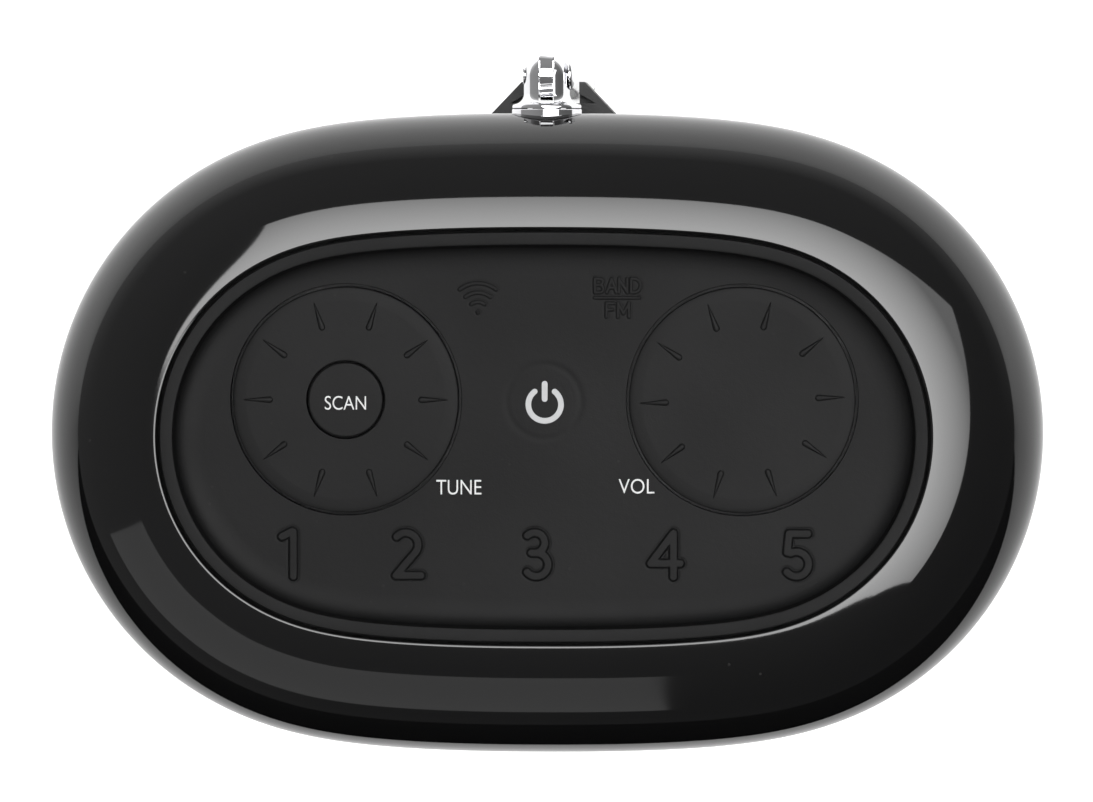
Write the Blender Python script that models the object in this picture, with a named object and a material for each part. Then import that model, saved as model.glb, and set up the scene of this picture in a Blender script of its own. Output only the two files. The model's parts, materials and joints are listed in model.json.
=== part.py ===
"""Upright portable radio with an oval body, two finger dials, a rubber key deck and a telescopic aerial.

Run with: blender --background --python part.py
Sizes below are in millimetres. UNIT turns them into Blender's metres when a mesh is made.
+Z is up, the front grille faces -Y, and the origin is the middle of the rubber foot's underside.
"""

import math

import bmesh
import bpy
from mathutils import Matrix, Vector

UNIT = 0.001
GAP = 0.3  # clearance between two pieces that touch or face each other

# ---------------------------------------------------------------- body outline
BODY_WIDTH = 118.0
BODY_DEPTH = 76.0
BODY_HEIGHT = 200.0
SIDE_CROWN = 2.1  # how far the front and the back bulge past the round ends
CORE_POWER = 2.3  # squareness of the core that the outline is drawn around
QUARTER_STEPS = 12
STEP_CROWDING = 1.4  # above 1 puts more outline points on the long sides

# ---------------------------------------------------------------- shells
SHELL_WALL = 2.5
SHOULDER_RADIUS = 13.3
SHOULDER_STEPS = 4
TOP_SHELL_HEIGHT = 52.0
RIM_INSET = 13.6  # inner edge of the gloss shoulder, from the outline
RIM_DROP = 0.3
HOUSING_WALL = 2.4
GRILLE_WALL = 1.0
BAFFLE_WALL = 2.5
SPLIT_Y = 6.0  # seam between the front and the rear walls

# ---------------------------------------------------------------- base
FOOT_THICKNESS = 2.7
FOOT_INSET = 10.0
BASE_HEIGHT = 15.0  # top of the base cover, from the ground
BASE_RADIUS = 8.0
BASE_WALL = 2.5
BASE_ARC_STEPS = 3

# ---------------------------------------------------------------- control deck
DISH_DEPTH = 3.5  # from the crest down to the flat of the rubber skin
SKIN_THICKNESS = 1.6
SKIN_EDGE_DROP = 0.6
SKIN_LAND = 1.5
SKIN_SLOPE = 0.5
SKIN_FLANGE = 2.6
DECK_THICKNESS = 1.7
BOARD_THICKNESS = 1.6
BOARD_DEPTH = 16.0  # from the crest down to the control board's underside
BOARD_INSET = 9.0
POST_RADIUS = 2.6

# ---------------------------------------------------------------- dials and keys
DIAL_RADIUS = 13.3
DIAL_X = 23.3
DIAL_Y = 4.3
DIAL_PROUD = 0.6
DIAL_EDGE = 0.5
DIAL_EDGE_STEPS = 3
HUB_RADIUS = 3.5
HUB_BORE = 2.2
TICK_COUNT = 10
TICK_INNER = 8.7
TICK_OUTER = 11.8
TICK_WIDTH = 0.75
TICK_HEIGHT = 0.3
SCAN_RADIUS = 4.4
SCAN_PROUD = 0.2
POWER_RADIUS = 4.6
POWER_Y = 4.1
ICON_KEY_RADIUS = 4.2
ICON_KEY_Y = 16.3
WIRELESS_X = -7.75
BAND_X = 8.5
PRESET_RADIUS = 4.0
PRESET_COUNT = 5
PRESET_PITCH = 14.95
PRESET_ROW_X = -0.6
PRESET_Y = -13.85
KEY_CAP = 1.3
KEY_STEM_RADIUS = 1.6
KEY_TRAVEL = 0.4
KEY_FREE_PLAY = 0.1
SWITCH_SIDE = 4.5
SWITCH_HEIGHT = 1.7
ENCODER_SIDE = 12.0
ENCODER_HEIGHT = 4.6

# ---------------------------------------------------------------- display
WINDOW_WIDTH = 50.0
WINDOW_HEIGHT = 20.0
WINDOW_TOP_DEPTH = 21.0  # from the crest down to the window's upper edge
WINDOW_THICKNESS = 2.0
WINDOW_STEPS = 8
MODULE_THICKNESS = 3.2
MODULE_BORDER = 1.6

# ---------------------------------------------------------------- speakers
DRIVER_DROP = 40.0  # driver's axis, below the top shell's lower edge
PASSIVE_RISE = 32.5  # passive radiator's axis, above the base cover
BOSS_RADIUS = 29.5
BOSS_FACE_Y = -31.7
BOSS_DEPTH = 2.6
SPEAKER_HOLE = 24.5
FLANGE_RADIUS = 28.0
FLANGE_THICKNESS = 2.0
ROLL_OUTER = 24.2
ROLL_INNER = 19.8
BASKET_NECK = 17.5
BASKET_DEPTH = 14.5
SHEET = 1.2
CONE_FRONT = 2.2  # depths behind the basket's front face
CONE_BACK = 7.2
CONE_SHEET = 1.0
ROLL_SEAT = 1.6
ROLL_SHEET = 0.6
PASSIVE_FRAME_DEPTH = 3.5
MAGNET_RADIUS = 16.5
MAGNET_LENGTH = 9.5
COIL_RADIUS = 6.5

# ---------------------------------------------------------------- rear electronics
MAIN_BOARD_WIDTH = 66.0
MAIN_BOARD_HEIGHT = 110.0
MAIN_BOARD_Y = 25.5
BATTERY_WIDTH = 38.0
BATTERY_DEPTH = 20.0
BATTERY_HEIGHT = 66.0
BATTERY_Y = 9.0
PORT_WIDTH = 30.0
PORT_HEIGHT = 13.0
PORT_Z = 27.5  # lower edge of the port flap
FLAP_THICKNESS = 1.8
FLAP_SINK = 0.1  # how far the flap lies below the rear wall's outer face
FLAP_EDGE = 0.5
USB_WIDTH = 9.0
USB_HEIGHT = 3.4
USB_X = -6.5
JACK_RADIUS = 3.0
JACK_BORE = 1.8
JACK_X = 7.0
SOCKET_WALL = 0.5
SOCKET_SETBACK = 7.0  # from the rear wall's outer face down to the sockets' mouths
BAY_WALL = 1.2

# ---------------------------------------------------------------- aerial
AERIAL_DEPTH = 14.5  # pivot, below the crest
AERIAL_STANDOFF = 4.5  # pivot, behind the rear wall
KNUCKLE_RADIUS = 2.73
FLARE_RADIUS = 4.1
FLARE_LENGTH = 1.7
SPIGOT_RADIUS = 2.3
SPIGOT_LENGTH = 5.0
BOSS_PAD_RADIUS = 4.8
SLOT_WIDTH = 2.0
TONGUE_WIDTH = 1.5
TONGUE_RADIUS = 3.0
PIN_RADIUS = 0.9
PIN_HEAD_RADIUS = 1.7
PIN_HEAD = 0.5
ROD_START = 3.4  # from the pivot down to the rod's collar
ROD_LENGTH = 120.0  # from the pivot to the end of the nested tubes
ROD_RADIUS = 2.6
TUBE_WALL = 0.3
TUBE_GAP = 0.15
TUBE_COUNT = 5
COLLAR_LENGTH = 8.0
TUBE_STEP = 1.2
TIP_LENGTH = 5.5
CLIP_DEPTH = 37.0  # top of the rest clip, below the crest
CLIP_HEIGHT = 11.0
CLIP_HALF_WIDTH = 7.6
CLIP_REACH = 3.6
CLIP_SLOT = 3.2  # half the width of the slot that the rod lies in
CLIP_TIP = 0.65
CLIP_FLOOR = 1.0
CLIP_RIM = 0.9
CLIP_POCKET = 2.0

# ---------------------------------------------------------------- screws
SCREW_RADIUS = 1.3
SCREW_HEAD_RADIUS = 2.5
SCREW_HEAD = 1.4
BASE_SCREW_X = 38.5
BASE_SCREW_Y = 15.5
BASE_SCREW_LENGTH = 10.0
BOARD_SCREW_LENGTH = 5.0

# ---------------------------------------------------------------- worked out from the sizes above
END_RADIUS = BODY_DEPTH / 2 - SIDE_CROWN
CORE_HALF_WIDTH = BODY_WIDTH / 2 - END_RADIUS
REAR_Y = BODY_DEPTH / 2
SHELL_BOTTOM = BODY_HEIGHT - TOP_SHELL_HEIGHT
DRIVER_Z = SHELL_BOTTOM - DRIVER_DROP
PASSIVE_Z = BASE_HEIGHT + PASSIVE_RISE
SKIN_TOP = BODY_HEIGHT - DISH_DEPTH
SKIN_UNDER = SKIN_TOP - SKIN_THICKNESS
DECK_TOP = SKIN_UNDER - GAP
DECK_UNDER = DECK_TOP - DECK_THICKNESS
BOARD_TOP = BODY_HEIGHT - BOARD_DEPTH + BOARD_THICKNESS
SWITCH_BASE = BOARD_TOP + GAP
SWITCH_TOP = SWITCH_BASE + SWITCH_HEIGHT
STEM_END = SWITCH_TOP + KEY_TRAVEL + KEY_FREE_PLAY
AERIAL_Z = BODY_HEIGHT - AERIAL_DEPTH
AERIAL_Y = REAR_Y + AERIAL_STANDOFF
BASE_FLOOR = FOOT_THICKNESS + GAP
INNER_FLOOR = BASE_FLOOR + BASE_WALL


# ================================================================ materials
def material(name, colour, roughness, metallic=0.0):
    made = bpy.data.materials.new(name)
    made.use_nodes = True
    shader = made.node_tree.nodes["Principled BSDF"]
    shader.inputs["Base Color"].default_value = (*colour, 1.0)
    shader.inputs["Roughness"].default_value = roughness
    shader.inputs["Metallic"].default_value = metallic
    made.diffuse_color = (*colour, 1.0)
    return made


def make_materials():
    return {
        "gloss": material("gloss_black", (0.008, 0.008, 0.009), 0.06),
        "matte": material("matte_black", (0.020, 0.020, 0.021), 0.55),
        "rubber": material("soft_rubber", (0.028, 0.028, 0.029), 0.75),
        "steel": material("painted_steel", (0.015, 0.015, 0.016), 0.45, 0.6),
        "chrome": material("chrome", (0.80, 0.80, 0.82), 0.08, 1.0),
        "zinc": material("zinc_screw", (0.55, 0.55, 0.56), 0.35, 1.0),
        "board": material("circuit_board", (0.02, 0.10, 0.05), 0.5),
        "battery": material("battery_wrap", (0.03, 0.08, 0.20), 0.4),
        "magnet": material("magnet", (0.10, 0.10, 0.11), 0.5, 0.8),
        "cone": material("paper_cone", (0.03, 0.03, 0.03), 0.8),
        "window": material("display_window", (0.01, 0.012, 0.015), 0.05),
    }


# ================================================================ outline
def outline_point(angle, inset):
    """The point whose outward normal is at this angle, on the body's outline moved inwards by inset."""
    c, s = math.cos(angle), math.sin(angle)
    wide, deep = CORE_HALF_WIDTH * abs(c), SIDE_CROWN * abs(s)
    k = 1 / (CORE_POWER - 1)
    size = (wide ** (CORE_POWER * k) + deep ** (CORE_POWER * k)) ** (1 / CORE_POWER)
    x = CORE_HALF_WIDTH * wide**k / size
    y = SIDE_CROWN * deep**k / size
    radius = END_RADIUS - inset
    return math.copysign(x, c) + radius * c, math.copysign(y, s) + radius * s


def outline_angles():
    """Normals' angles round the outline, closer together towards the long sides."""
    quarter = [
        math.pi / 2 * (1 - (1 - step / QUARTER_STEPS) ** STEP_CROWDING)
        for step in range(QUARTER_STEPS)
    ]
    back = [math.pi - angle for angle in reversed(quarter[1:])]
    half = quarter + [math.pi / 2] + back
    return half + [math.pi + angle for angle in half]


def outline(inset):
    return [outline_point(angle, inset) for angle in outline_angles()]


def wall_y(x, inset):
    """How far the outline, moved inwards by inset, lies from the X axis at this x."""
    low, high = 0.0, math.pi / 2
    for _ in range(50):
        middle = (low + high) / 2
        if outline_point(middle, inset)[0] > abs(x):
            low = middle
        else:
            high = middle
    return outline_point(low, inset)[1]


def arc(centre, radius, start, end, steps):
    """Points (across, up) along an arc, angles in degrees."""
    points = []
    for step in range(steps + 1):
        angle = math.radians(start + (end - start) * step / steps)
        points.append((centre[0] + radius * math.cos(angle), centre[1] + radius * math.sin(angle)))
    return points


# ================================================================ mesh helpers
def finish(name, bm, look, smooth_angle=40, place=(0, 0, 0), turn=(0, 0, 0)):
    """Turns a bmesh in millimetres into a named object in metres, placed and turned about its own origin."""
    bmesh.ops.recalc_face_normals(bm, faces=bm.faces)
    bmesh.ops.scale(bm, vec=(UNIT, UNIT, UNIT), verts=bm.verts)
    mesh = bpy.data.meshes.new(name)
    bm.to_mesh(mesh)
    bm.free()
    mesh.shade_smooth()
    mesh.set_sharp_from_angle(angle=math.radians(smooth_angle))
    if look:
        mesh.materials.append(look)
    made = bpy.data.objects.new(name, mesh)
    made.location = Vector(place) * UNIT
    made.rotation_euler = turn
    bpy.context.scene.collection.objects.link(made)
    return made


def guide(name, place):
    """An empty that marks an axis, for pieces to be parented to."""
    made = bpy.data.objects.new(name, None)
    made.location = Vector(place) * UNIT
    made.empty_display_size = 10 * UNIT
    bpy.context.scene.collection.objects.link(made)
    return made


def hang_on(parent, piece):
    """Parents a piece without moving it: neither piece's parent is turned."""
    piece.location = piece.location - parent.location
    piece.parent = parent
    return piece


def oval_walls(bm, profile):
    """One loop round the body for each (inset, z) point of the profile, with walls between neighbours."""
    loops = [[bm.verts.new((x, y, z)) for x, y in outline(inset)] for inset, z in profile]
    for lower, upper in zip(loops, loops[1:]):
        add_wall(bm, lower, upper)
    return loops


def add_wall(bm, lower, upper):
    for i in range(len(lower)):
        j = (i + 1) % len(lower)
        bm.faces.new((lower[i], lower[j], upper[j], upper[i]))


def oval_ring(name, profile, look):
    """A ring round the body whose section is the closed profile of (inset, z) points."""
    bm = bmesh.new()
    loops = oval_walls(bm, profile)
    add_wall(bm, loops[-1], loops[0])
    return finish(name, bm, look)


def oval_disc(name, profile, look):
    """A capped solid whose side is the open profile of (inset, z) points, from one cap to the other."""
    bm = bmesh.new()
    loops = oval_walls(bm, profile)
    bm.faces.new(loops[0])
    bm.faces.new(loops[-1])
    return finish(name, bm, look)


def turned(name, profile, look, place=(0, 0, 0), axis="Z", steps=24, closed=False):
    """A lathe-turned piece from (radius, height) points, with height along the axis from place.

    An open profile starts and ends at flat faces across the axis, and a closed one leaves a bore.
    """
    bm = bmesh.new()
    verts = [bm.verts.new((radius, 0, height)) for radius, height in profile]
    edges = [bm.edges.new(pair) for pair in zip(verts, verts[1:])]
    if closed:
        edges.append(bm.edges.new((verts[-1], verts[0])))
    bmesh.ops.spin(
        bm, geom=verts + edges, cent=(0, 0, 0), axis=(0, 0, 1), angle=math.tau, steps=steps, use_merge=True
    )
    bmesh.ops.holes_fill(bm, edges=[edge for edge in bm.edges if edge.is_boundary], sides=0)
    turn = {"Z": (0, 0, 0), "Y": (-math.pi / 2, 0, 0), "X": (0, math.pi / 2, 0)}
    return finish(name, bm, look, 40, place, turn[axis])


def rod(name, radius, low, high, look=None, place=(0, 0, 0), axis="Z", steps=16):
    """A plain solid cylinder from low to high along the axis through place."""
    return turned(name, [(radius, low), (radius, high)], look, place, axis, steps)


def tube(name, inner, outer, low, high, look, place=(0, 0, 0), axis="Z", steps=16):
    profile = [(inner, low), (outer, low), (outer, high), (inner, high)]
    return turned(name, profile, look, place, axis, steps, True)


def block(name, low, high, look=None, bevel=0.0, place=None):
    """A box between two corners, its edges rounded by bevel. Its origin is its middle, or place."""
    bm = bmesh.new()
    bmesh.ops.create_cube(bm, size=1)
    size = Vector(high) - Vector(low)
    middle = (Vector(high) + Vector(low)) / 2
    place = middle if place is None else Vector(place)
    bmesh.ops.scale(bm, vec=size, verts=bm.verts)
    bmesh.ops.translate(bm, vec=middle - place, verts=bm.verts)
    if bevel:
        bmesh.ops.bevel(bm, geom=bm.edges[:], offset=bevel, segments=1, affect="EDGES")
    return finish(name, bm, look, 30, place)


def prism(name, outline_xy, low, high, look=None):
    """A flat outline in the XY plane raised from low to high."""
    bm = bmesh.new()
    face = bm.faces.new([bm.verts.new((x, y, low)) for x, y in outline_xy])
    raised = bmesh.ops.extrude_face_region(bm, geom=[face])
    top = [v for v in raised["geom"] if isinstance(v, bmesh.types.BMVert)]
    bmesh.ops.translate(bm, vec=(0, 0, high - low), verts=top)
    return finish(name, bm, look, 30)


def combine(target, other, operation):
    """Adds other to target, cuts it away or keeps what they share, and puts other away as a helper."""
    step = target.modifiers.new(operation.lower() + "_" + other.name, "BOOLEAN")
    step.operation = operation
    step.object = other
    step.solver = "EXACT"
    other.hide_render = True
    other.display_type = "WIRE"
    return target


def cut(target, other):
    return combine(target, other, "DIFFERENCE")


def join(target, other):
    return combine(target, other, "UNION")


# ================================================================ where things sit
def shoulder_inner_inset(z):
    """Inset of the top shell's inner surface at this height."""
    height = z - (BODY_HEIGHT - SHOULDER_RADIUS)
    radius = SHOULDER_RADIUS - SHELL_WALL
    return SHOULDER_RADIUS - math.sqrt(max(radius**2 - max(height, 0) ** 2, 0))


def key_places():
    """Name, x, y and cap radius of every key that presses a switch through the deck."""
    places = [
        ("power", 0.0, POWER_Y, POWER_RADIUS),
        ("wireless", WIRELESS_X, ICON_KEY_Y, ICON_KEY_RADIUS),
        ("band", BAND_X, ICON_KEY_Y, ICON_KEY_RADIUS),
    ]
    for number in range(PRESET_COUNT):
        x = PRESET_ROW_X + PRESET_PITCH * (number - (PRESET_COUNT - 1) / 2)
        places.append((f"preset_{number + 1}", x, PRESET_Y, PRESET_RADIUS))
    return places


def dial_places():
    return [("tune", -DIAL_X), ("volume", DIAL_X)]


def post_places():
    """Board posts: one beyond each end of the key deck."""
    reach = CORE_HALF_WIDTH + END_RADIUS - BOARD_INSET - POST_RADIUS - GAP
    return [(-reach, 0.0), (reach, 0.0)]


def base_screw_places():
    return [(sx * BASE_SCREW_X, sy * BASE_SCREW_Y) for sx in (-1, 1) for sy in (-1, 1)]


# ================================================================ top
def make_top_shell(looks):
    spring = BODY_HEIGHT - SHOULDER_RADIUS
    low = SHELL_BOTTOM + GAP / 2
    outer = [(SHOULDER_RADIUS - x, z) for x, z in arc((0, spring), SHOULDER_RADIUS, 0, 90, SHOULDER_STEPS)]
    inner = [
        (SHOULDER_RADIUS - x, z)
        for x, z in arc((0, spring), SHOULDER_RADIUS - SHELL_WALL, 90, 0, SHOULDER_STEPS)
    ]
    lip = [(RIM_INSET, BODY_HEIGHT - RIM_DROP), (RIM_INSET, BODY_HEIGHT - SHELL_WALL)]
    shell = oval_ring("top_shell", [(0, low)] + outer + lip + inner + [(SHELL_WALL, low)], looks["gloss"])
    pad_inner = REAR_Y - SHELL_WALL - GAP
    pad = rod("aerial_pad", BOSS_PAD_RADIUS, pad_inner, REAR_Y + GAP, None, (0, 0, AERIAL_Z), "Y")
    join(shell, pad)
    bore = SPIGOT_RADIUS + GAP
    cut(shell, rod("aerial_bore", bore, pad_inner - 2, REAR_Y + 2, None, (0, 0, AERIAL_Z), "Y"))
    high = BODY_HEIGHT - WINDOW_TOP_DEPTH
    half = WINDOW_WIDTH / 2
    cut(shell, block("window_cutter", (-half, -REAR_Y - 2, high - WINDOW_HEIGHT), (half, -REAR_Y + 6, high)))
    return shell


def make_control_skin(looks):
    edge = RIM_INSET + GAP
    flange_top = BODY_HEIGHT - SHELL_WALL - GAP
    flat = edge + SKIN_LAND + SKIN_SLOPE
    skin = oval_disc(
        "control_skin",
        [
            (edge - SKIN_FLANGE, SKIN_UNDER),
            (edge - SKIN_FLANGE, flange_top - GAP),
            (edge, flange_top),
            (edge, BODY_HEIGHT - SKIN_EDGE_DROP),
            (edge + SKIN_LAND, BODY_HEIGHT - SKIN_EDGE_DROP),
            (flat - 0.4, SKIN_TOP + 0.3),
            (flat, SKIN_TOP),
        ],
        looks["rubber"],
    )
    for name, x in dial_places():
        hole = rod(name + "_skin_hole", DIAL_RADIUS + GAP, SKIN_UNDER - 1, SKIN_TOP + 1, None, (x, DIAL_Y, 0), "Z", 28)
        cut(skin, hole)
    for name, x, y, radius in key_places():
        cut(skin, rod(name + "_skin_hole", radius + GAP, SKIN_UNDER - 1, SKIN_TOP + 1, None, (x, y, 0)))
    return skin


def make_control_deck(looks):
    edge = shoulder_inner_inset(DECK_TOP) + GAP
    deck = oval_disc("control_deck", [(edge, DECK_UNDER), (edge, DECK_TOP)], looks["matte"])
    for name, x in dial_places():
        cut(deck, rod(name + "_deck_hole", HUB_RADIUS + GAP, DECK_UNDER - 1, DECK_TOP + 1, None, (x, DIAL_Y, 0)))
    for name, x, y, _ in key_places():
        hole = rod(name + "_deck_hole", KEY_STEM_RADIUS + GAP, DECK_UNDER - 1, DECK_TOP + 1, None, (x, y, 0), "Z", 12)
        cut(deck, hole)
    for index, (x, y) in enumerate(post_places()):
        join(deck, rod(f"deck_post_{index}", POST_RADIUS, BOARD_TOP + GAP, DECK_UNDER + 1, None, (x, y, 0), "Z", 12))
        depth = BOARD_TOP + BOARD_SCREW_LENGTH + GAP
        pilot = SCREW_RADIUS + GAP / 2
        cut(deck, rod(f"deck_pilot_{index}", pilot, BOARD_TOP - 1, depth, None, (x, y, 0), "Z", 12))
    return deck


def make_dial(name, x, looks, hollow):
    """A finger dial: a disc that sits in the skin, on a hub that turns inside the encoder."""
    low = DECK_TOP + GAP
    high = SKIN_TOP + DIAL_PROUD
    hub_end = SWITCH_TOP + 2 * GAP
    edge = arc((DIAL_RADIUS - DIAL_EDGE, high - DIAL_EDGE), DIAL_EDGE, 0, 90, DIAL_EDGE_STEPS)
    if hollow:
        floor = SKIN_TOP - KEY_CAP
        well = SCAN_RADIUS + GAP
        inner = [(well, high), (well, floor), (HUB_BORE, floor), (HUB_BORE, hub_end)]
        profile = [(HUB_RADIUS, hub_end), (HUB_RADIUS, low), (DIAL_RADIUS, low)] + edge + inner
        dial = turned(name + "_dial", profile, looks["rubber"], (x, DIAL_Y, 0), "Z", 28, True)
    else:
        profile = [(HUB_RADIUS, hub_end), (HUB_RADIUS, low), (DIAL_RADIUS, low)] + edge
        dial = turned(name + "_dial", profile, looks["rubber"], (x, DIAL_Y, 0), "Z", 28)
    join(dial, make_ticks(name + "_ticks", x, high))
    return dial


def make_ticks(name, x, top):
    """Raised tapered ticks round a dial, blunt towards the middle."""
    bm = bmesh.new()
    for index in range(TICK_COUNT):
        angle = math.tau * index / TICK_COUNT
        turn = Matrix.Rotation(angle, 4, "Z")
        half = TICK_WIDTH / 2
        flat = [(TICK_INNER, -half), (TICK_OUTER, -half / 3), (TICK_OUTER, half / 3), (TICK_INNER, half)]
        face = bm.faces.new([bm.verts.new(turn @ Vector((px, py, top - TICK_HEIGHT))) for px, py in flat])
        raised = bmesh.ops.extrude_face_region(bm, geom=[face])
        verts = [v for v in raised["geom"] if isinstance(v, bmesh.types.BMVert)]
        bmesh.ops.translate(bm, vec=(0, 0, 2 * TICK_HEIGHT), verts=verts)
    return finish(name, bm, None, 40, (x, DIAL_Y, 0))


def make_scan_button(looks):
    high = SKIN_TOP + DIAL_PROUD + SCAN_PROUD
    low = SKIN_TOP - KEY_CAP + KEY_TRAVEL + GAP
    stem = HUB_BORE - GAP
    profile = [(stem, STEM_END), (stem, low), (SCAN_RADIUS, low), (SCAN_RADIUS, high - 0.4)]
    profile += [(SCAN_RADIUS - 0.4, high)]
    return turned("scan_button", profile, looks["rubber"], (-DIAL_X, DIAL_Y, 0))


def make_keys(looks):
    for name, x, y, radius in key_places():
        low = SKIN_TOP - KEY_CAP
        profile = [(KEY_STEM_RADIUS, STEM_END), (KEY_STEM_RADIUS, low), (radius, low), (radius, SKIN_TOP)]
        label = name.replace("preset_", "preset_key_") if "preset" in name else name + "_key"
        turned(label, profile, looks["rubber"], (x, y, 0), "Z", 16)


def make_switch(name, x, y, looks):
    """A tactile switch: a square can with a round-cornered plunger on top."""
    half = SWITCH_SIDE / 2
    can_top = SWITCH_TOP - 0.5
    can = block(name, (x - half, y - half, SWITCH_BASE), (x + half, y + half, can_top), looks["matte"])
    join(can, rod(name + "_plunger", half / 2, can_top - 0.5, SWITCH_TOP, None, (x, y, 0), "Z", 8))
    return can


def make_control_board(looks):
    low = BODY_HEIGHT - BOARD_DEPTH
    board = oval_disc("control_board", [(BOARD_INSET, low), (BOARD_INSET, BOARD_TOP)], looks["board"])
    for index, (x, y) in enumerate(post_places()):
        pilot = SCREW_RADIUS + GAP
        cut(board, rod(f"board_hole_{index}", pilot, low - 1, BOARD_TOP + 1, None, (x, y, 0), "Z", 12))
        make_screw(f"board_screw_{index + 1}", x, y, low - GAP, BOARD_SCREW_LENGTH + BOARD_THICKNESS, looks)
    for name, x in dial_places():
        half = ENCODER_SIDE / 2
        top = SWITCH_BASE + ENCODER_HEIGHT
        corner = (x - half, DIAL_Y - half, SWITCH_BASE)
        body = block(name + "_encoder", corner, (x + half, DIAL_Y + half, top), looks["zinc"])
        cut(body, rod(name + "_encoder_bore", HUB_RADIUS + GAP, SWITCH_BASE - 1, top + 1, None, (x, DIAL_Y, 0)))
    make_switch("scan_switch", -DIAL_X, DIAL_Y, looks)
    for name, x, y, _ in key_places():
        label = name.replace("preset_", "preset_switch_") if "preset" in name else name + "_switch"
        make_switch(label, x, y, looks)


def make_screw(name, x, y, head_top, length, looks):
    """A pan-head screw pointing up, its head hanging below head_top."""
    profile = [(SCREW_HEAD_RADIUS - 0.5, head_top - SCREW_HEAD), (SCREW_HEAD_RADIUS, head_top - SCREW_HEAD + 0.5)]
    profile += [(SCREW_HEAD_RADIUS, head_top), (SCREW_RADIUS, head_top), (SCREW_RADIUS, head_top + length)]
    return turned(name, profile, looks["zinc"], (x, y, 0), "Z", 12)


# ================================================================ front
def wall_patch(name, half_width, low, high, outer, inner, steps, look):
    """A piece of the front wall between two insets, from -half_width to +half_width."""
    front, back = [], []
    for step in range(steps + 1):
        x = half_width * (2 * step / steps - 1)
        front.append((x, -wall_y(x, outer)))
        back.append((x, -wall_y(x, inner)))
    return prism(name, front + back[::-1], low, high, look)


def make_display(looks):
    high = BODY_HEIGHT - WINDOW_TOP_DEPTH - GAP
    low = high - WINDOW_HEIGHT + 2 * GAP
    half = WINDOW_WIDTH / 2 - GAP
    wall_patch("display_window", half, low, high, 0, WINDOW_THICKNESS, WINDOW_STEPS, looks["window"])
    face = -wall_y(half + MODULE_BORDER, SHELL_WALL + GAP)
    corner = (-half - MODULE_BORDER, face, low - MODULE_BORDER)
    far = (half + MODULE_BORDER, face + MODULE_THICKNESS, high + MODULE_BORDER)
    block("display_module", corner, far, looks["board"])


def front_half(name, outer, inner, look):
    """The part of an oval wall in front of the seam."""
    low, high = BASE_HEIGHT + GAP / 2, SHELL_BOTTOM - GAP / 2
    wall = oval_ring(name, [(outer, low), (outer, high), (inner, high), (inner, low)], look)
    reach = BODY_WIDTH
    keep = block(name + "_keep", (-reach, -reach, low - 5), (reach, SPLIT_Y - GAP / 2, high + 5))
    return combine(wall, keep, "INTERSECT")


def make_front(looks):
    front_half("front_grille", 0, GRILLE_WALL, looks["steel"])
    outer = GRILLE_WALL + GAP
    baffle = front_half("front_baffle", outer, outer + BAFFLE_WALL, looks["matte"])
    for name, z in (("driver", DRIVER_Z), ("passive", PASSIVE_Z)):
        face = BOSS_FACE_Y
        join(baffle, rod(name + "_boss", BOSS_RADIUS, face - BOSS_DEPTH, face, None, (0, 0, z), "Y", 28))
        cut(baffle, rod(name + "_hole", SPEAKER_HOLE, -BODY_DEPTH, 0, None, (0, 0, z), "Y", 28))
    add_screw_posts(baffle, -1)


def add_screw_posts(wall, side):
    """Two posts inside a wall, on its lower edge, for the base cover's screws."""
    low, high = BASE_HEIGHT + GAP, BASE_HEIGHT + BASE_SCREW_LENGTH
    for index, sx in enumerate((-1, 1)):
        x, y = sx * BASE_SCREW_X, side * BASE_SCREW_Y
        post = rod(f"post_{wall.name}_{index}", POST_RADIUS + 0.6, low, high, None, (x, y, 0), "Z", 12)
        join(wall, post)
        reach = side * (wall_y(x, HOUSING_WALL + GRILLE_WALL) + 1)
        web_low, web_high = sorted((y + side * SCREW_RADIUS * 2, reach))
        join(wall, block(f"web_{wall.name}_{index}", (x - 1.2, web_low, low + 0.4), (x + 1.2, web_high, high - 0.4)))
        pilot = SCREW_RADIUS + GAP / 2
        cut(wall, rod(f"pilot_{wall.name}_{index}", pilot, low - 1, high + 1, None, (x, y, 0), "Z", 12))


def roll_profile():
    """Section of a rubber half-roll, bulging towards the listener."""
    middle = (ROLL_INNER + ROLL_OUTER) / 2
    outside = (ROLL_OUTER - ROLL_INNER) / 2
    crest = arc((middle, -ROLL_SEAT), outside, 180, 0, 4)
    hollow = arc((middle, -ROLL_SEAT), outside - ROLL_SHEET, 0, 180, 4)
    return [(radius, -height) for radius, height in crest + hollow]


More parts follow.
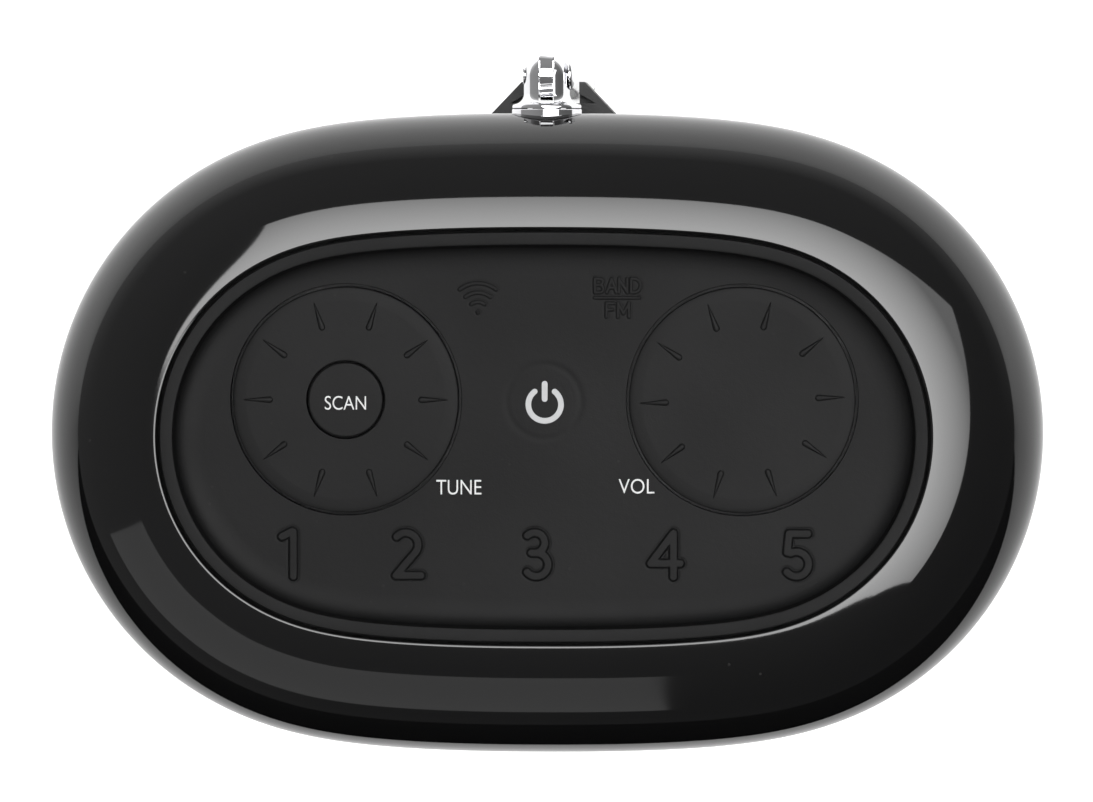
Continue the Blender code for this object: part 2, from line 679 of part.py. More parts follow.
def make_speakers(looks):
    face = BOSS_FACE_Y + GAP
    seat = ROLL_OUTER + GAP
    step = FLANGE_THICKNESS + SHEET / 3
    basket = [(FLANGE_RADIUS, 0), (FLANGE_RADIUS, FLANGE_THICKNESS), (seat + SHEET, step)]
    basket += [(BASKET_NECK, BASKET_DEPTH - SHEET), (BASKET_NECK, BASKET_DEPTH), (COIL_RADIUS + SHEET, BASKET_DEPTH)]
    basket += [(COIL_RADIUS + SHEET, BASKET_DEPTH - SHEET), (BASKET_NECK - SHEET, BASKET_DEPTH - SHEET)]
    basket += [(seat, step), (seat, 0)]
    driver = (0, face, DRIVER_Z)
    turned("driver_basket", basket, looks["steel"], driver, "Y", 24, True)
    back = BASKET_DEPTH + GAP
    rod("driver_magnet", MAGNET_RADIUS, back, back + MAGNET_LENGTH, looks["magnet"], driver, "Y", 24)
    edge = ROLL_INNER - GAP
    coil_end = BASKET_DEPTH - 2 * SHEET
    cone = [(COIL_RADIUS, CONE_BACK), (edge, CONE_FRONT), (edge, CONE_FRONT + CONE_SHEET)]
    cone += [(COIL_RADIUS, CONE_BACK + CONE_SHEET), (COIL_RADIUS, coil_end)]
    cone += [(COIL_RADIUS - CONE_SHEET, coil_end), (COIL_RADIUS - CONE_SHEET, CONE_BACK + CONE_SHEET)]
    turned("driver_cone", cone, looks["cone"], driver, "Y")
    turned("driver_surround", roll_profile(), looks["rubber"], driver, "Y", 24, True)
    passive = (0, face, PASSIVE_Z)
    tube("passive_frame", seat, FLANGE_RADIUS, 0, PASSIVE_FRAME_DEPTH, looks["matte"], passive, "Y", 24)
    turned("passive_surround", roll_profile(), looks["rubber"], passive, "Y", 24, True)
    plate = CONE_FRONT + CONE_SHEET
    rod("passive_diaphragm", edge, plate - 1.4 * CONE_SHEET, plate, looks["cone"], passive, "Y", 24)


# ================================================================ rear
def make_rear_housing(looks):
    low, high = BASE_HEIGHT + GAP / 2, SHELL_BOTTOM - GAP / 2
    wall = oval_ring(
        "rear_housing", [(0, low), (0, high), (HOUSING_WALL, high), (HOUSING_WALL, low)], looks["matte"]
    )
    reach = BODY_WIDTH
    keep = block("rear_housing_keep", (-reach, SPLIT_Y + GAP / 2, low - 5), (reach, reach, high + 5))
    combine(wall, keep, "INTERSECT")
    half = PORT_WIDTH / 2 + GAP
    low, high = PORT_Z - GAP, PORT_Z + PORT_HEIGHT + GAP
    floor = REAR_Y - SOCKET_SETBACK - GAP
    rim = wall_y(half + BAY_WALL, HOUSING_WALL / 2)
    corner = (-half - BAY_WALL, floor - BAY_WALL, low - BAY_WALL)
    join(wall, block("port_bay", corner, (half + BAY_WALL, rim, high + BAY_WALL)))
    cut(wall, block("port_cutter", (-half, floor, low), (half, REAR_Y + 2, high)))
    middle = (low + high) / 2
    side, tall = USB_WIDTH / 2 + GAP, USB_HEIGHT / 2 + GAP
    slot = block("usb_hole", (USB_X - side, floor - 4, middle - tall), (USB_X + side, floor + 1, middle + tall))
    cut(wall, slot)
    cut(wall, rod("jack_hole", JACK_RADIUS + GAP, floor - 4, floor + 1, None, (JACK_X, 0, middle), "Y", 16))
    add_screw_posts(wall, 1)
    return wall


def make_electronics(looks):
    half = MAIN_BOARD_WIDTH / 2
    low = INNER_FLOOR + GAP
    far = (half, MAIN_BOARD_Y + BOARD_THICKNESS, low + MAIN_BOARD_HEIGHT)
    block("main_board", (-half, MAIN_BOARD_Y, low), far, looks["board"])
    half = BATTERY_WIDTH / 2
    near = (-half, BATTERY_Y - BATTERY_DEPTH / 2, low)
    block("battery_pack", near, (half, BATTERY_Y + BATTERY_DEPTH / 2, low + BATTERY_HEIGHT), looks["battery"], 2.0)
    z = PORT_Z + PORT_HEIGHT / 2
    back = MAIN_BOARD_Y + BOARD_THICKNESS + GAP
    mouth = REAR_Y - SOCKET_SETBACK
    half = USB_WIDTH / 2
    tall = USB_HEIGHT / 2
    usb = block("usb_socket", (USB_X - half, back, z - tall), (USB_X + half, mouth, z + tall), looks["zinc"], 0.6)
    half, tall = half - SOCKET_WALL, tall - SOCKET_WALL
    low = (USB_X - half, back + SOCKET_WALL, z - tall)
    cut(usb, block("usb_mouth", low, (USB_X + half, mouth + 1, z + tall)))
    floor = back + SOCKET_WALL
    profile = [(JACK_RADIUS, back), (JACK_RADIUS, mouth), (JACK_BORE, mouth), (JACK_BORE, floor)]
    turned("aux_socket", profile, looks["matte"], (JACK_X, 0, z), "Y", 16)


def make_port_flap(looks):
    """A flap that fills the port opening and swings aside about its upright outer edge, clear of the folded rod."""
    half = PORT_WIDTH / 2
    outer = REAR_Y - FLAP_SINK
    low, high = (-half, outer - FLAP_THICKNESS, PORT_Z), (half, outer, PORT_Z + PORT_HEIGHT)
    return block("port_flap", low, high, looks["rubber"], FLAP_EDGE, (-half, outer, PORT_Z))


# ================================================================ aerial
def make_knuckle(looks):
    """Turned swivel: a spigot through the shell, a flared foot, and a round-ended fork for the rod's tongue."""
    foot = REAR_Y + 2 * GAP - AERIAL_Y
    neck = foot + FLARE_LENGTH
    spigot = foot - GAP - SPIGOT_LENGTH
    profile = [(SPIGOT_RADIUS, spigot), (SPIGOT_RADIUS, foot), (FLARE_RADIUS, foot)]
    profile += [(FLARE_RADIUS, foot + 0.3), (3.4, foot + 0.7), (2.95, foot + 1.15), (KNUCKLE_RADIUS, neck)]
    profile += arc((0, 0), KNUCKLE_RADIUS, 0, 80, 5)
    knuckle = turned("antenna_knuckle", profile, looks["chrome"], (0, AERIAL_Y, AERIAL_Z), "Y", 20)
    reach = TONGUE_RADIUS + GAP
    half = SLOT_WIDTH / 2
    far = (half, AERIAL_Y + 2 * reach, AERIAL_Z + 2 * reach)
    cut(knuckle, block("fork_slot", (-half, AERIAL_Y - reach, AERIAL_Z - 2 * reach), far))
    side = 2 * KNUCKLE_RADIUS
    cut(knuckle, rod("pin_bore", PIN_RADIUS + 0.15, -side, side, None, (0, AERIAL_Y, AERIAL_Z), "X", 12))
    hole = rod("spigot_bore", SCREW_RADIUS + 0.15, spigot - 1, spigot + SPIGOT_LENGTH - 1, None, (0, AERIAL_Y, AERIAL_Z), "Y", 16)
    cut(knuckle, hole)
    return knuckle


def make_pivot_hardware(looks):
    """The pin through the fork, and the screw that holds the swivel from inside the shell."""
    seat = KNUCKLE_RADIUS + 0.1
    low, high = -seat - PIN_HEAD, seat + PIN_HEAD
    profile = [(PIN_HEAD_RADIUS * 0.6, low), (PIN_HEAD_RADIUS, low + PIN_HEAD * 0.7), (PIN_HEAD_RADIUS, low + PIN_HEAD)]
    profile += [(PIN_RADIUS, low + PIN_HEAD), (PIN_RADIUS, high - PIN_HEAD), (PIN_HEAD_RADIUS, high - PIN_HEAD)]
    profile += [(PIN_HEAD_RADIUS, high - PIN_HEAD * 0.7), (PIN_HEAD_RADIUS * 0.6, high)]
    turned("antenna_pin", profile, looks["chrome"], (0, AERIAL_Y, AERIAL_Z), "X", 16)
    spigot = REAR_Y + GAP - AERIAL_Y - SPIGOT_LENGTH
    head = spigot - GAP
    screw = [(SCREW_HEAD_RADIUS + 0.9, head - SCREW_HEAD), (SCREW_HEAD_RADIUS + 0.9, head)]
    screw += [(SCREW_RADIUS, head), (SCREW_RADIUS, head + SPIGOT_LENGTH - 1.8)]
    turned("antenna_screw", screw, looks["zinc"], (0, AERIAL_Y, AERIAL_Z), "Y", 16)


def make_sections(looks):
    """The rod: nested tubes that slide out of each other, the first hinged by its tongue, the last with a cap."""
    place = (0, AERIAL_Y, AERIAL_Z)
    outer = ROD_RADIUS
    for index in range(TUBE_COUNT):
        name = f"antenna_section_{index + 1}"
        inner = outer - TUBE_WALL
        low = -ROD_LENGTH
        if index == 0:
            bore_top = -ROD_START - COLLAR_LENGTH
            profile = [(outer - 0.5, -ROD_START), (outer, -ROD_START - 0.5), (outer, low)]
            profile += [(inner, low), (inner, bore_top)]
            first = turned(name, profile, looks["chrome"], place, "Z", 16)
            half = TONGUE_WIDTH / 2
            join(first, rod("tongue_eye", TONGUE_RADIUS, -half, half, None, place, "X", 16))
            low_corner = (-half, AERIAL_Y - 1.6, AERIAL_Z - ROD_START - 1)
            join(first, block("tongue_web", low_corner, (half, AERIAL_Y + 1.6, AERIAL_Z)))
            cut(first, rod("tongue_bore", PIN_RADIUS + 0.15, -3, 3, None, place, "X", 16))
        elif index < TUBE_COUNT - 1:
            top = -ROD_START - COLLAR_LENGTH - TUBE_STEP * index
            tube(name, inner, outer, low, top, looks["chrome"], place, "Z", 16)
        else:
            top = -ROD_START - COLLAR_LENGTH - TUBE_STEP * index
            cap = low - GAP
            profile = [(outer, top), (outer, cap), (ROD_RADIUS, cap), (ROD_RADIUS, cap - TIP_LENGTH + 1)]
            profile += [(ROD_RADIUS - 0.8, cap - TIP_LENGTH)]
            turned(name, profile, looks["chrome"], place, "Z", 16)
        outer = inner - TUBE_GAP


def make_clip(looks):
    """The rest that the folded rod lies in: two ramped arms with open-topped pockets, on a common floor."""
    high = BODY_HEIGHT - CLIP_DEPTH
    low = high - CLIP_HEIGHT
    wall = wall_y(CLIP_HALF_WIDTH, 0) + GAP
    wall = max(wall, REAR_Y + GAP)
    tip = wall + CLIP_REACH
    floor = wall + CLIP_FLOOR
    right = [(CLIP_HALF_WIDTH, wall), (CLIP_SLOT + CLIP_TIP, tip), (CLIP_SLOT, tip), (CLIP_SLOT, floor)]
    left = [(-x, y) for x, y in reversed(right)]
    clip = prism("antenna_clip", right + left, low, high, looks["matte"])
    ramp = (CLIP_HALF_WIDTH - CLIP_SLOT - CLIP_TIP) / CLIP_REACH
    for side, label in ((-1, "left"), (1, "right")):
        inner = CLIP_SLOT + 0.01
        base_y = wall + CLIP_RIM * 0.6
        outer_x = CLIP_HALF_WIDTH - CLIP_RIM * 1.4 - ramp * CLIP_RIM * 0.6
        top_y = tip - CLIP_RIM
        pocket = [(inner, base_y), (outer_x, base_y), (inner + 0.01, min(top_y, base_y + (outer_x - inner) / ramp))]
        pocket = [(side * (x - 0.6), y) for x, y in pocket]
        pocket[0] = (side * (CLIP_SLOT - 1), base_y + CLIP_FLOOR - CLIP_RIM * 0.6)
        pocket[2] = (side * (CLIP_SLOT - 1), pocket[2][1])
        pocket[1] = (pocket[1][0], base_y + CLIP_FLOOR - CLIP_RIM * 0.6)
        cut(clip, prism(f"clip_pocket_{label}", pocket, high - CLIP_POCKET, high + 1))
    return clip


# ================================================================ base
def make_base(looks):
    low, high = BASE_FLOOR, BASE_HEIGHT - GAP / 2
    outer = [(BASE_RADIUS - x, low + BASE_RADIUS - z) for x, z in arc((0, 0), BASE_RADIUS, 90, 0, BASE_ARC_STEPS)]
    inner = [
        (BASE_RADIUS - x, low + BASE_RADIUS - z)
        for x, z in arc((0, 0), BASE_RADIUS - BASE_WALL, 0, 90, BASE_ARC_STEPS)
    ]
    cover = oval_disc("base_cover", outer + [(0, high), (BASE_WALL, high)] + inner, looks["gloss"])
    recess = SCREW_HEAD + GAP
    for index, (x, y) in enumerate(base_screw_places()):
        head = rod(f"counterbore_{index}", SCREW_HEAD_RADIUS + GAP, low - 1, low + recess, None, (x, y, 0), "Z", 12)
        post = rod(f"cover_post_{index}", SCREW_HEAD_RADIUS + 1.6, low + 0.5, high - GAP, None, (x, y, 0), "Z", 12)
        join(cover, post)
        cut(cover, head)
        cut(cover, rod(f"cover_hole_{index}", SCREW_RADIUS + GAP, low - 1, high + 1, None, (x, y, 0), "Z", 12))
        length = BASE_HEIGHT + BASE_SCREW_LENGTH - 2 - (low + recess)
        make_screw(f"base_screw_{index + 1}", x, y, low + recess - GAP, length, looks)
    lip = FOOT_THICKNESS * 0.4
    oval_disc(
        "base_foot", [(FOOT_INSET + lip, 0), (FOOT_INSET, lip), (FOOT_INSET, FOOT_THICKNESS)], looks["rubber"]
    )


def main():
    for old in list(bpy.data.objects):
        bpy.data.objects.remove(old)
    looks = make_materials()
    make_top_shell(looks)
    make_control_skin(looks)
    make_control_deck(looks)
    make_dial("tune", -DIAL_X, looks, True)
    make_dial("volume", DIAL_X, looks, False)
    make_scan_button(looks)
    make_keys(looks)
    make_control_board(looks)
    make_display(looks)
    make_front(looks)
    make_speakers(looks)
    make_rear_housing(looks)
    make_electronics(looks)
    make_port_flap(looks)
    make_knuckle(looks)
    make_pivot_hardware(looks)
    make_sections(looks)
    pivot = guide("antenna_pivot", (0, AERIAL_Y, AERIAL_Z))
    for piece in [item for item in bpy.data.objects if item.name.startswith("antenna_") and item.type == "MESH"]:
        if not piece.name.startswith("antenna_clip"):
            hang_on(pivot, piece)
    make_clip(looks)
    make_base(looks)


main()
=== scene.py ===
# %% [markdown]
# # A tabletop radio, seen from its control deck
# The real radio is a stadium-shaped loudspeaker cabinet with a gloss black shoulder, a soft rubber
# key deck with two finger dials, and a folding chrome rod aerial on its back. The imported model is a
# fixed frame: every piece built below takes its place from that frame, and most ride on one of its bodies.

# %% Load the fixed frame
import json
import math
import bmesh
import bpy
import numpy as np
from mathutils import Matrix, Vector


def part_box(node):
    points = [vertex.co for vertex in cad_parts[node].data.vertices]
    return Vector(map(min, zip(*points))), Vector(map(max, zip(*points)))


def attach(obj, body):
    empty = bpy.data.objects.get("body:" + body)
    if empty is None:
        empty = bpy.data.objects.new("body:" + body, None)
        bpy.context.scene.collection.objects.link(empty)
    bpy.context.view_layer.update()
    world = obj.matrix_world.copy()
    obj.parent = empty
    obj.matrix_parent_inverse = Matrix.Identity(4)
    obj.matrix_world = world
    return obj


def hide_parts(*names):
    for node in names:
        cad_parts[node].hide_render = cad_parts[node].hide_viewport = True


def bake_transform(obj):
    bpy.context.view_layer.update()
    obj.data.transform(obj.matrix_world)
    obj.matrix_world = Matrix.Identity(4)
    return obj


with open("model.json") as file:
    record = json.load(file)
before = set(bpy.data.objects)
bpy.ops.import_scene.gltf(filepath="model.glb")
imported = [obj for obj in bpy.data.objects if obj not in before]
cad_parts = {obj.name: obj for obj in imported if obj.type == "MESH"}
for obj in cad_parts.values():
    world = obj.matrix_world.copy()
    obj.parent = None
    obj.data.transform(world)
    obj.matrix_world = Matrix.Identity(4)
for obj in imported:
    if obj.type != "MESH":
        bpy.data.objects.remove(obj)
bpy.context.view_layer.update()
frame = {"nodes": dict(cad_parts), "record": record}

NODES = frame["nodes"]

# %% [markdown]
# ## Sizes that come from the frame
# Lengths here are in millimetres, because that is how the real parts are drawn, and each finished
# mesh is scaled to metres once. Positions are read from the boxes of the frame's nodes, so a dial or
# a key can't drift away from the solid that MuJoCo moves.

# %% Read the places of the main pieces
MM = 0.001


def node_box(name):
    low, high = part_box(name)
    return [value / MM for value in low], [value / MM for value in high]


def node_centre(name):
    low, high = node_box(name)
    return [(a + b) / 2 for a, b in zip(low, high)]


shell_low, shell_high = node_box("top_shell")
HALF_WIDTH = shell_high[0]
HALF_DEPTH = -shell_low[1]
CREST = shell_high[2]
SHELL_LOW = shell_low[2]
SKIN_TOP = node_box("preset_key_3")[1][2]
GAP = 0.3
print(f"body {2 * HALF_WIDTH:.2f} x {2 * HALF_DEPTH:.2f}, crest {CREST:.2f}, skin {SKIN_TOP:.2f}")

# %% [markdown]
# ## The outline
# Seen from above, the cabinet is two round ends joined by long sides that are almost straight. It is
# an arc of fixed radius rolled round a flat super-ellipse, so its normal at every point is known, and
# any wall inside it is the same line moved inwards. A Bezier curve drawn by eye would do for one
# wall, but not for the eight that have to nest. Points are spaced evenly along the line, because
# uneven ones show up as ripples in a gloss reflection.

# %% Outline points by the angle of their normal
SIDE_CROWN = 2.1
END_RADIUS = HALF_DEPTH - SIDE_CROWN
CORE_HALF = HALF_WIDTH - END_RADIUS
CORE_POWER = 2.3
ROUND = 240


def outline_point(angle, inset=0.0):
    c, s = math.cos(angle), math.sin(angle)
    wide, deep = CORE_HALF * abs(c), SIDE_CROWN * abs(s)
    k = 1 / (CORE_POWER - 1)
    size = (wide ** (CORE_POWER * k) + deep ** (CORE_POWER * k)) ** (1 / CORE_POWER)
    radius = END_RADIUS - inset
    x = math.copysign(CORE_HALF * wide**k / size, c)
    y = math.copysign(SIDE_CROWN * deep**k / size, s)
    return x + radius * c, y + radius * s


def even_outline(count, start=0.0):
    """Points evenly spaced along the outline, anticlockwise, with the length walked to each."""
    fine = [outline_point(math.tau * i / 7200 + start) for i in range(7201)]
    walk = np.cumsum([0.0] + [math.dist(a, b) for a, b in zip(fine, fine[1:])])
    wanted = np.linspace(0, walk[-1], count, endpoint=False)
    xs = np.interp(wanted, walk, [p[0] for p in fine])
    ys = np.interp(wanted, walk, [p[1] for p in fine])
    return list(zip(xs, ys)), walk[-1]


RIM_POINTS, RIM_LENGTH = even_outline(ROUND)


def wall_y(x, inset=0.0):
    """How far the outline lies from the X axis at this x."""
    low, high = 0.0, math.pi / 2
    for _ in range(40):
        middle = (low + high) / 2
        low, high = (middle, high) if outline_point(middle, inset)[0] > abs(x) else (low, middle)
    return outline_point(low, inset)[1]


print("outline", round(RIM_LENGTH, 1), "mm long, in", len(RIM_POINTS), "steps")

# %% [markdown]
# ## Small mesh helpers
# A bmesh is built in millimetres, scaled to metres, and given to an object that stays at the origin.
# Booleans and bevels are live modifiers only while they are needed: baking the evaluated object to a
# new mesh keeps the finished piece plain.

# %% Helpers that make, bake and cut a mesh
def arc(centre, radius, start, end, steps=18):
    """Points along an arc, angles in degrees, both ends included."""
    angles = [math.radians(start + (end - start) * i / steps) for i in range(steps + 1)]
    return [(centre[0] + radius * math.cos(a), centre[1] + radius * math.sin(a)) for a in angles]


def finish_mesh(name, bm, look=None, sharp=35, recalc=True):
    if recalc:
        bmesh.ops.recalc_face_normals(bm, faces=bm.faces)
    bmesh.ops.scale(bm, vec=(MM, MM, MM), verts=bm.verts)
    mesh = bpy.data.meshes.new(name)
    bm.to_mesh(mesh)
    bm.free()
    mesh.shade_smooth()
    mesh.set_sharp_from_angle(angle=math.radians(sharp))
    piece = bpy.data.objects.new(name, mesh)
    bpy.context.scene.collection.objects.link(piece)
    if look:
        mesh.materials.append(look)
    return piece


def bake(piece):
    """Turns the evaluated object into its own plain mesh and drops the modifiers."""
    bpy.context.view_layer.update()
    graph = bpy.context.evaluated_depsgraph_get()
    graph.update()
    mesh = bpy.data.meshes.new_from_object(piece.evaluated_get(graph), depsgraph=graph)
    piece.modifiers.clear()
    piece.data = mesh
    return piece


def carve(piece, cutter, operation="DIFFERENCE"):
    step = piece.modifiers.new("carve", "BOOLEAN")
    step.operation, step.object, step.solver = operation, cutter, "EXACT"
    bake(piece)
    bpy.data.objects.remove(cutter)
    return piece


def bore(piece, radius, low, high, place, axis="Z", steps=40, operation="DIFFERENCE"):
    """Cuts a straight round hole from low to high along axis, or adds a post there."""
    return carve(piece, turned("bore", [(radius, low), (radius, high)], None, place, axis, steps), operation)


def soften(piece, width, segments, angle):
    """Breaks every edge sharper than angle with a small bevel, and bakes it."""
    step = piece.modifiers.new("edges", "BEVEL")
    step.width, step.segments, step.limit_method, step.angle_limit = width * MM, segments, "ANGLE", math.radians(angle)
    return bake(piece)


def tidy_normals(piece, sharp=35, look=None):
    """Marks sharp edges, then weights normals by face area so that flat faces stay flat."""
    mesh = piece.data
    mesh.shade_smooth()
    mesh.set_sharp_from_angle(angle=math.radians(sharp))
    step = piece.modifiers.new("weighted", "WEIGHTED_NORMAL")
    step.keep_sharp, step.weight = True, 60
    bake(piece)
    if look:
        piece.data.materials.clear()
        piece.data.materials.append(look)
    return piece


def turned(name, profile, look=None, place=(0, 0, 0), axis="Z", steps=64, closed=False, sharp=35):
    """A lathe-turned piece from (radius, height) points, its height measured from place along axis."""
    bm = bmesh.new()
    rings = []
    for radius, height in profile:
        if radius < 1e-6:
            rings.append([bm.verts.new((0, 0, height))])
        else:
            angles = [math.tau * i / steps for i in range(steps)]
            rings.append([bm.verts.new((radius * math.cos(a), radius * math.sin(a), height)) for a in angles])
    pairs = list(zip(rings, rings[1:])) + ([(rings[-1], rings[0])] if closed else [])
    for a, b in pairs:
        for i in range(steps):
            j = (i + 1) % steps
            if len(a) == 1:
                bm.faces.new((a[0], b[i], b[j]))
            elif len(b) == 1:
                bm.faces.new((a[i], a[j], b[0]))
            else:
                bm.faces.new((a[i], a[j], b[j], b[i]))
    if not closed:
        for ring in (rings[0], rings[-1]):
            if len(ring) > 1:
                bm.faces.new(ring)
    turn = {"Z": Matrix(), "Y": Matrix.Rotation(-math.pi / 2, 4, "X"), "X": Matrix.Rotation(math.pi / 2, 4, "Y")}
    bmesh.ops.transform(bm, matrix=Matrix.Translation(Vector(place)) @ turn[axis], verts=bm.verts)
    return finish_mesh(name, bm, look, sharp)


def rounded_block(name, low, high, radius=0.0, steps=4, axis="Z", look=None, edge=0.0):
    """A block between two corners whose corners round off in the plane across axis."""
    keep = {"Z": (0, 1, 2), "Y": (0, 2, 1), "X": (1, 2, 0)}[axis]
    a = [low[i] for i in keep]
    b = [high[i] for i in keep]
    if radius > 0:
        flat = []
        for cx, cy, start in ((b[0], b[1], 0), (a[0], b[1], 90), (a[0], a[1], 180), (b[0], a[1], 270)):
            centre = (cx + (radius if cx == a[0] else -radius), cy + (radius if cy == a[1] else -radius))
            flat += arc(centre, radius, start, start + 90, steps)
    else:
        flat = [(a[0], a[1]), (b[0], a[1]), (b[0], b[1]), (a[0], b[1])]
    bm = bmesh.new()
    loops = []
    for level in (a[2], b[2]):
        ring = []
        for u, v in flat:
            point = [0.0, 0.0, 0.0]
            point[keep[0]], point[keep[1]], point[keep[2]] = u, v, level
            ring.append(bm.verts.new(point))
        loops.append(ring)
    for i in range(len(flat)):
        j = (i + 1) % len(flat)
        bm.faces.new((loops[0][i], loops[0][j], loops[1][j], loops[1][i]))
    bm.faces.new(loops[0])
    bm.faces.new(loops[1])
    bmesh.ops.recalc_face_normals(bm, faces=bm.faces)
    if edge:
        bmesh.ops.bevel(bm, geom=bm.edges[:], offset=edge, segments=2, profile=0.5, affect="EDGES", clamp_overlap=True)
    return finish_mesh(name, bm, look)


def place_piece(piece, body, stands_for=()):
    """The frame calls that every finished piece needs, and a line to say that it is done."""
    if stands_for:
        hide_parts(*stands_for)
    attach(piece, body)
    print(piece.name, count(piece), "triangles")
    return piece


def count(piece):
    return sum(len(face.vertices) - 2 for face in piece.data.polygons)


print("helpers ready")

# %% [markdown]
# ## Finishes: the effects they share
# Real plastic and rubber are never one flat value. A fine grain breaks up the highlight on rubber,
# slow blotches change how polished a moulded surface is, and a little dust sits on everything that
# faces up. These three effects are node groups with named inputs, so each material sets its own
# amounts, and only colours, masks and heights leave a group: the shader stays in the material.

# %% A helper that builds a node group with named sockets
def new_group(name, inputs, outputs):
    group = bpy.data.node_groups.new(name, "ShaderNodeTree")
    for label, kind, value in inputs:
        socket = group.interface.new_socket(label, in_out="INPUT", socket_type=kind)
        if value is not None:
            socket.default_value = value
    for label, kind in outputs:
        group.interface.new_socket(label, in_out="OUTPUT", socket_type=kind)
    return group, group.nodes.new("NodeGroupInput"), group.nodes.new("NodeGroupOutput")


def adjust(node, **values):
    """Sets a node's properties and its sockets' values by name, in the order given."""
    for key, value in values.items():
        if hasattr(node, key):
            setattr(node, key, value)
        else:
            node.inputs[key.replace("_", " ")].default_value = value
    return node


def add(tree, kind, **values):
    return adjust(tree.nodes.new(kind), **values)


def math_node(tree, operation, *values):
    """The output of one Math node whose inputs are sockets or numbers."""
    node = add(tree, "ShaderNodeMath", operation=operation)
    for socket, value in zip(node.inputs, values):
        if isinstance(value, (int, float)):
            socket.default_value = value
        else:
            tree.links.new(value, socket)
    return node.outputs[0]


def connect(tree, *links):
    """Each link is (node, output, node, input), with the sockets by name or by number."""
    for source, output, target, socket in links:
        tree.links.new(source.outputs[output], target.inputs[socket])


FLOAT, VECTOR, INTEGER = "NodeSocketFloat", "NodeSocketVector", "NodeSocketInt"
OBJECT, MATERIAL, GEOMETRY = "NodeSocketObject", "NodeSocketMaterial", "NodeSocketGeometry"
print("node helpers ready")

# %% Fine grain: a height for the bump, from two sizes of noise
grain_group, g_in, g_out = new_group(
    "fine_grain", [("Vector", VECTOR, None), ("Scale", FLOAT, 4000.0), ("Softness", FLOAT, 0.5)], [("Height", FLOAT)]
)
fine = add(grain_group, "ShaderNodeTexNoise", Detail=2.0, Roughness=0.6)
coarse = add(grain_group, "ShaderNodeTexNoise", Detail=1.0, Roughness=0.5)
third = add(grain_group, "ShaderNodeMath", operation="MULTIPLY")
third.inputs[1].default_value = 0.3
blend_sizes = add(grain_group, "ShaderNodeMix", data_type="FLOAT")
connect(
    grain_group,
    (g_in, "Vector", fine, "Vector"), (g_in, "Vector", coarse, "Vector"), (g_in, "Scale", fine, "Scale"),
    (g_in, "Scale", third, 0), (third, 0, coarse, "Scale"), (g_in, "Softness", blend_sizes, "Factor"),
    (fine, 0, blend_sizes, 2), (coarse, 0, blend_sizes, 3), (blend_sizes, 0, g_out, "Height"),
)
print("group", grain_group.name)

# %% Polish: a roughness that drifts slowly over a moulded surface
polish_group, g_in, g_out = new_group(
    "polish",
    [("Vector", VECTOR, None), ("Scale", FLOAT, 60.0), ("Low", FLOAT, 0.05), ("High", FLOAT, 0.1)],
    [("Roughness", FLOAT)],
)
drift = add(polish_group, "ShaderNodeTexNoise", Detail=4.0, Roughness=0.55)
spread = add(polish_group, "ShaderNodeMapRange", From_Min=0.3, From_Max=0.7)
connect(
    polish_group,
    (g_in, "Vector", drift, "Vector"), (g_in, "Scale", drift, "Scale"), (drift, 0, spread, "Value"),
    (g_in, "Low", spread, "To Min"), (g_in, "High", spread, "To Max"), (spread, 0, g_out, "Roughness"),
)
print("group", polish_group.name)

# %% Dust: small specks, mostly on faces that look up
dust_group, g_in, g_out = new_group(
    "dust_specks",
    [("Vector", VECTOR, None), ("Scale", FLOAT, 420.0), ("Amount", FLOAT, 0.15)],
    [("Mask", FLOAT)],
)
specks = add(dust_group, "ShaderNodeTexVoronoi", feature="F1")
size = add(dust_group, "ShaderNodeMapRange", From_Min=0.10, From_Max=0.04)
patches = add(dust_group, "ShaderNodeTexNoise", Scale=90.0, Detail=2.0)
where = add(dust_group, "ShaderNodeMapRange", From_Min=0.52, From_Max=0.62)
facing = add(dust_group, "ShaderNodeNewGeometry")
split = add(dust_group, "ShaderNodeSeparateXYZ")
up = add(dust_group, "ShaderNodeMath", operation="MAXIMUM")
up.inputs[1].default_value = 0.0
steps = [add(dust_group, "ShaderNodeMath", operation="MULTIPLY") for _ in range(3)]
link = dust_group.links.new
connect(
    dust_group,
    (g_in, "Vector", specks, "Vector"), (g_in, "Vector", patches, "Vector"), (g_in, "Scale", specks, "Scale"),
    (specks, "Distance", size, "Value"), (patches, 0, where, "Value"), (facing, "Normal", split, 0),
    (split, "Z", up, 0), (size, 0, steps[0], 0), (where, 0, steps[0], 1), (steps[0], 0, steps[1], 0),
    (up, 0, steps[1], 1), (steps[1], 0, steps[2], 0), (g_in, "Amount", steps[2], 1),
    (steps[2], 0, g_out, "Mask"),
)
print("group", dust_group.name)

# %% [markdown]
# ## Finishes: the materials
# One function makes a material from the three effects. The pattern reads Object coordinates, which
# for these pieces are the same as places on the radio, so grain and dust run on across the joint
# between two pieces. Uniform numbers such as coat or specular level go straight on the shader.

